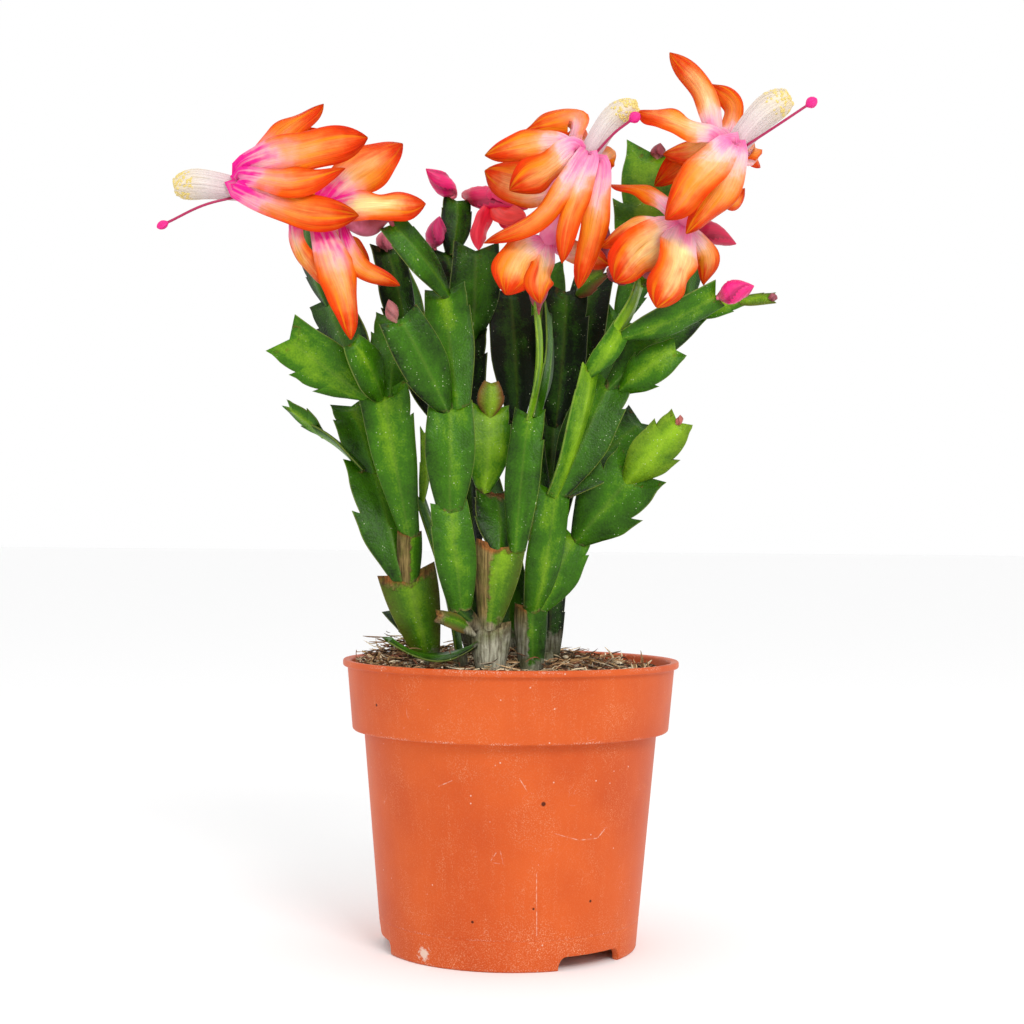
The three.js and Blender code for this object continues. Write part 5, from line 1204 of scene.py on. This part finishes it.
# Light comes through the middle of a tepal: the glow rises and falls along it, and fades to the margins.
bell = add_node(
    silk, "MapRange", {0: level, 1: 0.26, 2: 0.42, 3: 0, 4: 1}, interpolation_type="SMOOTHSTEP",
)
fall = add_node(
    silk, "MapRange", {0: level, 1: 0.56, 2: 0.9, 3: 1, 4: 0}, interpolation_type="SMOOTHSTEP",
)
centre = add_node(silk, "MapRange", {0: off.outputs[0], 1: 0.15, 2: 0.85, 3: 1, 4: 0})
lit = bell
for share in (fall, centre, look):
    lit = add_node(silk, "Math", {0: lit.outputs[0], 1: share.outputs[0]}, operation="MULTIPLY")
# Broad streaks run gold where the petal is thin, and red-orange where it folds and along its margins.
past = add_node(silk, "MapRange", {0: level, 1: 0.42, 2: 0.62})
gold = add_node(silk, "MapRange", {0: broad.outputs[0], 1: 0.48, 2: 0.3, 3: 0, 4: 0.7})
gold = add_node(silk, "Math", {0: gold.outputs[0], 1: past.outputs[0]}, operation="MULTIPLY")
rim = add_node(silk, "MapRange", {0: off.outputs[0], 1: 0.62, 2: 1.0, 3: 0, 4: 0.8})
fold = add_node(silk, "MapRange", {0: broad.outputs[0], 1: 0.48, 2: 0.75, 3: 0, 4: 0.85})
rim = add_node(silk, "Math", {0: rim.outputs[0], 1: fold.outputs[0]}, operation="MAXIMUM")
rim = add_node(silk, "Math", {0: rim.outputs[0], 1: past.outputs[0]}, operation="MULTIPLY")
colour = base.outputs[0]
for share, tint in ((pinker, MAGENTA), (lit, GLOW), (gold, GOLD), (rim, EDGE_RED)):
    colour = add_node(
        silk, "Mix", {0: share.outputs[0], 6: colour, 7: linear(tint)}, data_type="RGBA",
    ).outputs[2]
# Both kinds of streak are lighter and darker too.
darker = add_node(silk, "MapRange", {0: veins.outputs[0], 1: 0.3, 2: 0.7, 3: 0.86, 4: 1.1})
broader = add_node(silk, "MapRange", {0: broad.outputs[0], 1: 0.3, 2: 0.7, 3: 0.93, 4: 1.17})
darker = add_node(silk, "Math", {0: darker.outputs[0], 1: broader.outputs[0]}, operation="MULTIPLY")
colour = add_node(silk, "VectorMath", {0: colour, "Scale": darker.outputs[0]}, operation="SCALE")
relief = add_node(silk, "Math", {0: broad.outputs[0], 1: 3.0, 2: veins.outputs[0]}, operation="MULTIPLY_ADD")
bump = add_node(silk, "Bump", {"Height": relief.outputs[0], "Distance": 0.0005, "Strength": 0.8})
shader = add_node(silk, "BsdfPrincipled", {
    "Base Color": colour.outputs[0], "Roughness": 0.36, "Normal": bump.outputs[0], "IOR": 1.42,
    "Subsurface Weight": 0.12, "Subsurface Radius": (1.0, 0.25, 0.08), "Subsurface Scale": 1.2 * MM,
    "Specular IOR Level": 0.1,
})
add_node(silk, "OutputMaterial", {"Surface": shader.outputs[0]})
mouths = {}
for name, described in BLOOMS.items():
    bodies, *mouths[name] = bloom_flower(name, **described)
    add_piece(mesh_of(name + "_petals", bodies), silk, "orange_pink_petals", name + "_tepals")

# ---------------------------------------------------------------- stamens
# Out of each bloom's mouth stands a brush of cream filaments, thin and close together, each with a
# powdery yellow anther on its end. They are set in a ring in the throat and spread as they go.

STAMENS = dict(foot=3.3, sunk=5, steps=14, count=80, radius=0.12, sides=5, seed=40)
CORE = dict(share=0.995, sides=88, grooves=26, half_depth=0.015)
ANTHER = dict(count=210, reach=0.22, length=1.1, radius=0.55)


def grooved(described):
    """Shares of a radius round a ring: one, less a cosine that makes its grooves, in equal steps."""
    turn = np.arange(described["sides"]) / described["sides"]
    return 1 - described["half_depth"] * (1 - np.cos(2 * math.pi * described["grooves"] * turn))[None]


def stamen_bodies(name):
    """The brush of a bloom: a fluted core with a round end, filaments that lie on it, each following the
    path at its own share of the radius, and small pointed anthers over its end."""
    described = BLOOMS[name]
    mouth, along = mouths[name]
    draw = np.random.default_rng(len(name) + STAMENS["seed"])
    inside = mouth - along * STAMENS["sunk"]
    path = curve_through([inside, *[seen(*p) for p in described["stamens"]]], STAMENS["steps"])
    u = np.linspace(0, 1, STAMENS["steps"] + 1)
    thick = STAMENS["foot"] + (described["thickness"] - STAMENS["foot"]) * np.minimum(1, 1.4 * u)
    thick = thick * np.sqrt(np.clip(1.12 - np.clip(u - 0.7, 0, 1) ** 2 * 9, 0.1, 1))
    ways = unit(np.gradient(path, axis=0))
    across = unit(np.cross(SLANTING, ways))
    up = np.cross(ways, across)
    core = bar_rings(path, thick * CORE["share"], CORE["sides"], grooved(CORE))
    bodies = [skin(core, dict(place=graded(core, np.linspace(0, 0.95, len(core)))))]
    for _ in range(STAMENS["count"]):
        angle, share = draw.uniform(0, 2 * math.pi), draw.uniform(0.965, 0.995)
        offset = across * math.cos(angle) + up * math.sin(angle)
        line = path + offset * (thick * share)[:, None]
        line = line + draw.normal(0, 0.12, 3) * u[:, None] ** 2
        kept = line[: STAMENS["steps"] + 1 - draw.integers(0, 4)]
        rings = bar_rings(kept, np.full(len(kept), STAMENS["radius"]), STAMENS["sides"])
        bodies.append(skin(rings, dict(place=graded(rings, np.linspace(0, 0.85, len(rings))))))
    for _ in range(ANTHER["count"]):
        at = STAMENS["steps"] * (1 - ANTHER["reach"] * draw.uniform() ** 1.7)
        angle = draw.uniform(0, 2 * math.pi)
        share = 1.0 if at < STAMENS["steps"] - 0.6 else draw.uniform() ** 0.5
        row = int(at)
        offset = across[row] * math.cos(angle) + up[row] * math.sin(angle)
        spot = point_at(path, at) + offset * 0.93 * share * np.interp(at, range(len(path)), thick)
        lean = unit(ways[row] + draw.normal(0, 0.45, 3)) * ANTHER["length"]
        grain = spot + lean * np.linspace(-0.5, 0.5, 5)[:, None]
        rings = bar_rings(grain, ANTHER["radius"] * np.array([0.3, 0.9, 1, 0.85, 0.25]), 6)
        bodies.append(skin(rings, dict(place=all_over(rings, (1, 0, 0)))))
    return bodies


# Filaments are moist, cream and half clear, pinkish in the throat. Anthers are dry pale yellow powder.
CREAM_RAMP = [(0.0, "#cb8e9c"), (0.3, "#d6babe"), (0.6, "#dcd0ca"), (0.9, "#dfd1b6"), (1.0, "#e2cb7c")]
cream = bare_material("cream_filament")
spot = add_node(cream, "SeparateXYZ", {
    0: add_node(cream, "Attribute", attribute_name="place").outputs["Vector"],
})
place = add_node(cream, "TexCoord").outputs["Object"]
base = add_node(cream, "ValToRGB", {0: spot.outputs[0]})
base.color_ramp.elements[0].color = linear(CREAM_RAMP[0][1])
base.color_ramp.elements[1].color = linear(CREAM_RAMP[-1][1])
for at, colour in CREAM_RAMP[1:-1]:
    base.color_ramp.elements.new(at).color = linear(colour)
powder = add_node(cream, "TexNoise", {"Vector": place, "Scale": 2600, "Detail": 2})
shade = add_node(cream, "MapRange", {0: powder.outputs[0], 1: 0.3, 2: 0.7, 3: 0.86, 4: 1.06})
colour = add_node(cream, "VectorMath", {0: base.outputs[0], "Scale": shade.outputs[0]}, operation="SCALE")
bump = add_node(cream, "Bump", {"Height": powder.outputs[0], "Distance": 0.0001, "Strength": 0.2})
shader = add_node(cream, "BsdfPrincipled", {
    "Base Color": colour.outputs[0], "Roughness": 0.55, "Normal": bump.outputs[0],
    "Subsurface Weight": 0.1, "Subsurface Radius": (1.0, 0.8, 0.6), "Subsurface Scale": 0.4 * MM,
    "Specular IOR Level": 0.3,
})
add_node(cream, "OutputMaterial", {"Surface": shader.outputs[0]})
for name in BLOOMS:
    add_piece(
        mesh_of(name + "_filaments", stamen_bodies(name)), cream, "cream_stamens", name + "_stamens",
    )

# ---------------------------------------------------------------- styles
# The style is one magenta thread from the ovary through the tube, longer than the stamens. It ends in a
# stigma of six narrow lobes pressed together, which look like one velvety knob.

STYLE = dict(radius=0.45, sunk=4, steps=16, sides=14)
KNOB = dict(sides=36, grooves=6, half_depth=0.09, sunk=0.2, slim=dict(bloom_left=0.78))
STIGMA = [(0, 0.45), (0.5, 1.0), (1.1, 1.6), (2, 1.95), (3, 1.75), (3.8, 1.2), (4.3, 0.35)]  # way on, radius


def style_bodies(name):
    """The thread, and a knob on its end whose radius follows a table of steps and is fluted by a cosine."""
    described = BLOOMS[name]
    mouth, along = mouths[name]
    first = seen(*described["style"][0])
    foot = mouth + (first - mouth) * 0.15 - along * STYLE["sunk"]
    thread = curve_through([foot, *[seen(*p) for p in described["style"]]], STYLE["steps"])
    ahead = unit(thread[-1] - thread[-2])
    knob = np.array([thread[-1] + ahead * (step - KNOB["sunk"]) for step, _ in STIGMA])
    slim = KNOB["slim"].get(name, 1.0)
    thread_rings = bar_rings(thread, np.full(len(thread), STYLE["radius"]), STYLE["sides"])
    knob_rings = bar_rings(knob, [radius * slim for _, radius in STIGMA], KNOB["sides"], grooved(KNOB))
    return [
        skin(rings, dict(place=all_over(rings, (value,) * 3)))
        for rings, value in ((thread_rings, 0), (knob_rings, 1))
    ]


# Magenta flesh: glossy and moist on the thread, velvety and brighter on the stigma, with a down of 0.5 mm.
FLESH_DEEP, FLESH_BRIGHT = "#8e0a32", "#dd0f80"
magenta = bare_material("moist_magenta_flesh")
spot = add_node(magenta, "SeparateXYZ", {
    0: add_node(magenta, "Attribute", attribute_name="place").outputs["Vector"],
})
place = add_node(magenta, "TexCoord").outputs["Object"]
down = add_node(magenta, "TexNoise", {"Vector": place, "Scale": 2000, "Detail": 3})
tone = add_node(magenta, "Math", {0: down.outputs[0], 1: 0.5, 2: spot.outputs[0]}, operation="MULTIPLY_ADD")
colour = add_node(
    magenta, "Mix", {0: tone.outputs[0], 6: linear(FLESH_DEEP), 7: linear(FLESH_BRIGHT)},
    data_type="RGBA",
)
rough = add_node(magenta, "MapRange", {0: spot.outputs[0], 3: 0.35, 4: 0.6})
bump = add_node(magenta, "Bump", {"Height": down.outputs[0], "Distance": 0.0001, "Strength": 0.5})
shader = add_node(magenta, "BsdfPrincipled", {
    "Base Color": colour.outputs[2], "Roughness": rough.outputs[0], "Normal": bump.outputs[0],
    "Subsurface Weight": 0.25, "Subsurface Radius": (1.0, 0.2, 0.5), "Subsurface Scale": 1.0 * MM,
})
add_node(magenta, "OutputMaterial", {"Surface": shader.outputs[0]})
for name in BLOOMS:
    add_piece(mesh_of(name + "_thread", style_bodies(name)), magenta, "magenta_style", name + "_style")

# ---------------------------------------------------------------- buds
# A bud is a spindle of tepals rolled tightly round each other, on a round ovary and a short stalk. The
# edge of each outer tepal stands up as a slanting ridge. Small ones are brown-red and nearly round.

BUD = dict(sides=30, rows=44, ridges=3, ridge=0.22, turns=1.2, drop=0.15, stalk=2.4, steps=50)
BUD_SWELL = [(0, 0.16), (0.07, 0.24), (0.16, 0.52), (0.28, 0.85), (0.42, 1), (0.56, 0.95), (0.7, 0.8),
             (0.8, 0.6), (0.9, 0.36), (0.96, 0.18), (1, 0.05)]
BUDS = dict(
    bud_tall=("p1", -0.55, -32, 277.5, 12, 4.2, "#d80e68"),
    bud_low=("p0", -0.7, -27, 260.5, 6, 4, "#c42a66"),
    bud_right=("i2", 0.3, 86, 236.5, -30, 4.4, "#dc1472"),
    bud_far_right=("i3b", 0, 94.5, 232, -9, 1.8, "#8c3f4c"),
    bud_behind=("m3", 1, 79.5, 251.5, 13, 4.4, "#c41046"),
    bud_brown=("f1", -0.3, -45, 230.5, -40, 2.6, "#9c5a5a"),
    bud_ball=("q1", 0, -44.5, 255.5, 0, 4, "#c06478"),
    bud_top=("m2", 0.1, 52, 287.5, 5, 3, "#8c2f3c"),
    bud_twin=("k1", 1, 40, 236.5, 2, 3.4, "#a83a4c"),
    bud_between=("k0", 0.3, 33, 259, 22, 3.4, "#8c1030"),
    bud_seed=("f0", 0, 60, 190, -26, 1.4, "#a85a50"),
    bud_back=("bd4", 0, 48, 264, 54, 3.6, "#cc2f70"),
    bud_back_left=("bb4", 0, -40, 257, 55, 4, "#d23478"),
)  # the segment it sits on, where on its tip edge, its own tip as seen, radius and colour


def bud_path(bearer, share, tip):
    """The curve from a seat on the tip edge, up the stalk, to the bud's own tip."""
    foot = grown[bearer]["seat"](share, -CLEARANCE)
    return curve_through([foot, foot + grown[bearer]["along"] * BUD["stalk"], tip], BUD["steps"])


def bud_body(path, radius, colour):
    """A spindle: at each point along it the radius is the swell there, less a share that grows round
    each rolled tepal and drops at its edge. The edges slant, because the pattern turns as it goes up."""
    level = np.linspace(0, 1, BUD["rows"])
    points = point_at(path, level * BUD["steps"])
    swell = np.interp(level, *zip(*BUD_SWELL))
    turn = np.arange(BUD["sides"]) / BUD["sides"]
    saw = (turn[None] * BUD["ridges"] + BUD["turns"] * level[:, None]) % 1
    top = 1 - BUD["drop"]
    ridged = 1 - BUD["ridge"] * np.clip(saw / top, 0, 1) * np.clip(1 - (saw - top) / BUD["drop"], 0, 1)
    rings = bar_rings(points, radius * swell, BUD["sides"], ridged)
    place = np.stack([np.broadcast_to(level[:, None], saw.shape), saw, np.zeros(saw.shape)], -1)
    return skin(rings, dict(place=place, tint=all_over(rings, linear(colour))))


# Bud skin: waxy rolled tepals, pale at the ovary, with lengthwise streaks, and painted shade in the groove
# beside each rolled edge.
BUD_FOOT = "#d3a08e"
bud_skin = bare_material("waxy_bud_skin")
spot = add_node(bud_skin, "SeparateXYZ", {
    0: add_node(bud_skin, "Attribute", attribute_name="place").outputs["Vector"],
})
tint = add_node(bud_skin, "Attribute", attribute_name="tint").outputs["Color"]
place = add_node(bud_skin, "TexCoord").outputs["Object"]
streak_space = add_node(bud_skin, "CombineXYZ", {0: spot.outputs[0], 1: spot.outputs[1]})
streak_space = add_node(bud_skin, "Mapping", {"Vector": streak_space.outputs[0], "Scale": (3, 8, 1)})
streaks = add_node(bud_skin, "TexNoise", {"Vector": streak_space.outputs[0], "Scale": 1, "Detail": 4})
mottle = add_node(bud_skin, "TexNoise", {"Vector": place, "Scale": 700, "Detail": 3})
pale = add_node(bud_skin, "MapRange", {0: spot.outputs[0], 1: 0.1, 2: 0.34, 3: 0.35, 4: 0})
colour = add_node(
    bud_skin, "Mix", {0: pale.outputs[0], 6: tint, 7: linear(BUD_FOOT)}, data_type="RGBA",
)
# Painted shade: darker in the groove and up the step where the next rolled tepal's edge stands.
grooved = add_node(bud_skin, "MapRange", {0: spot.outputs[1], 1: 0.6, 2: 0.95, 3: 1.06, 4: 0.62})
streaked = add_node(bud_skin, "MapRange", {0: streaks.outputs[0], 1: 0.3, 2: 0.7, 3: 0.8, 4: 1.15})
shade = add_node(bud_skin, "Math", {0: grooved.outputs[0], 1: streaked.outputs[0]}, operation="MULTIPLY")
colour = add_node(
    bud_skin, "VectorMath", {0: colour.outputs[2], "Scale": shade.outputs[0]}, operation="SCALE",
)
bump = add_node(bud_skin, "Bump", {"Height": streaks.outputs[0], "Distance": 0.0003, "Strength": 0.5})
rough = add_node(bud_skin, "MapRange", {0: mottle.outputs[0], 1: 0.3, 2: 0.7, 3: 0.32, 4: 0.5})
shader = add_node(bud_skin, "BsdfPrincipled", {
    "Base Color": colour.outputs[0], "Roughness": rough.outputs[0], "Normal": bump.outputs[0], "IOR": 1.45,
    "Subsurface Weight": 0.25, "Subsurface Radius": (1.0, 0.3, 0.4), "Subsurface Scale": 1.5 * MM,
})
add_node(bud_skin, "OutputMaterial", {"Surface": shader.outputs[0]})
for name, (on, share, x, z, depth, radius, colour) in BUDS.items():
    body = bud_body(bud_path(on, share, seen(x, z, depth)), radius, colour)
    add_piece(mesh_of(name + "_spindle", [body]), bud_skin, "magenta_buds", name)

# ---------------------------------------------------------------- opening bloom
# The half-open bloom in the middle is a bud whose outer tepals have begun to fold back. It is pinker and
# redder than the open ones, because the tepals still show their backs.

OPENING = dict(
    on=("p1", 1), tip=(4.5, 263.5, -3), radius=4.8, colour="#cf1454", seed=9,
    tepals=[
        (0.5, (-12, 256, 2), (-13, 248.5, 0), 7, 0, 0, "#e4203c"),
        (0.3, (-7, 271, 6), (2, 266.5, -2), 9, -10, 30, "#dc1458"),
        (0.5, (-4, 261.5, 0), (4, 261, -5), 8, 0, 0, "#ea3a34"),
        (0.5, (-4, 262, 14), (-1, 256, 15), 8, 175, 0, "#dc2448"),
    ],
)  # a tepal: where along the bud it parts, a middle point, its tip, width, facing, lift and colour
path = bud_path(*OPENING["on"], seen(*OPENING["tip"]))
bodies = [bud_body(path, OPENING["radius"], OPENING["colour"])]
draw = np.random.default_rng(OPENING["seed"])
for start, through, tip, width, face, lift, colour in OPENING["tepals"]:
    root = path[round(start * BUD["steps"])]
    made = tepal([root, seen(*through), seen(*tip)], width, face, lift, (0, 0, 0), draw)
    made["traits"] = dict(
        place=np.abs(made["traits"]["place"]) * (1, 0.5, 1),
        tint=np.broadcast_to(linear(colour), (len(made["points"]), 4)),
    )
    bodies.append(made)
add_piece(mesh_of("opening_bloom_tepals", bodies), bud_skin, "pink_red_petals", "opening_bloom")

# ---------------------------------------------------------------- floor, light and camera
# The pot stands on plain white paper that runs to the horizon, in soft light: a broad lamp up at the front
# right, a weak fill at the left, and an even white surround. The ellipses of the pot's rims gave the
# camera's height and distance.

FLOOR_REACH = 30  # metres
PAPER_DULL, PAPER_BRIGHT, SURROUND = "#f9f9f9", "#fdfdfd", "#ffffff"
AIM = (0, 0, 0.15)  # where both lamps shine, in metres
CAMERA = dict(lens=62.9, sensor=36, shift=0.0303, roll=-0.5)
floor_mesh = bpy.data.meshes.new("studio_floor")
floor_mesh.from_pydata(
    [(x * FLOOR_REACH, y * FLOOR_REACH, 0) for x, y in ((-1, -1), (1, -1), (1, 1), (-1, 1))],
    [], [(0, 1, 2, 3)],
)
floor = bpy.data.objects.new("studio_floor", floor_mesh)
bpy.context.scene.collection.objects.link(floor)
paper = bare_material("matt_white_paper")
grain = add_node(paper, "TexNoise", {
    "Vector": add_node(paper, "TexCoord").outputs["Object"], "Scale": 900, "Detail": 2,
})
shade = add_node(
    paper, "Mix", {0: grain.outputs[0], 6: linear(PAPER_DULL), 7: linear(PAPER_BRIGHT)}, data_type="RGBA",
)
shader = add_node(paper, "BsdfPrincipled", {
    "Base Color": shade.outputs[2], "Roughness": 0.9, "Specular IOR Level": 0.1,
})
add_node(paper, "OutputMaterial", {"Surface": shader.outputs[0]})
floor.data.materials.append(paper)

world = bpy.data.worlds.new("pale_room")
world.use_nodes = True
world.node_tree.nodes["Background"].inputs["Color"].default_value = linear(SURROUND)
world.node_tree.nodes["Background"].inputs["Strength"].default_value = 1.0
bpy.context.scene.world = world


def area_light(name, at, aim, size, power):
    """A square lamp at a place, turned so that it shines at another."""
    lamp = bpy.data.lights.new(name, "AREA")
    lamp.energy, lamp.size = power, size
    made = bpy.data.objects.new(name, lamp)
    bpy.context.scene.collection.objects.link(made)
    made.location = at
    away = Vector(at) - Vector(aim)
    made.rotation_euler = away.to_track_quat("Z", "Y").to_euler()


area_light("key_light", (0.35, -0.9, 0.8), AIM, size=0.4, power=5.6)
area_light("fill_light", (-0.8, -0.6, 0.5), AIM, size=0.6, power=0.5)

bpy.context.scene.view_settings.view_transform = "Standard"
camera = bpy.data.cameras.new("camera")
camera.lens, camera.sensor_width, camera.shift_y = CAMERA["lens"], CAMERA["sensor"], CAMERA["shift"]
shot = bpy.data.objects.new("camera", camera)
bpy.context.scene.collection.objects.link(shot)
shot.location = (0, -VIEWER["distance"] * MM, VIEWER["height"] * MM)
shot.rotation_euler = (math.radians(90), math.radians(CAMERA["roll"]), 0)
bpy.context.scene.camera = shot
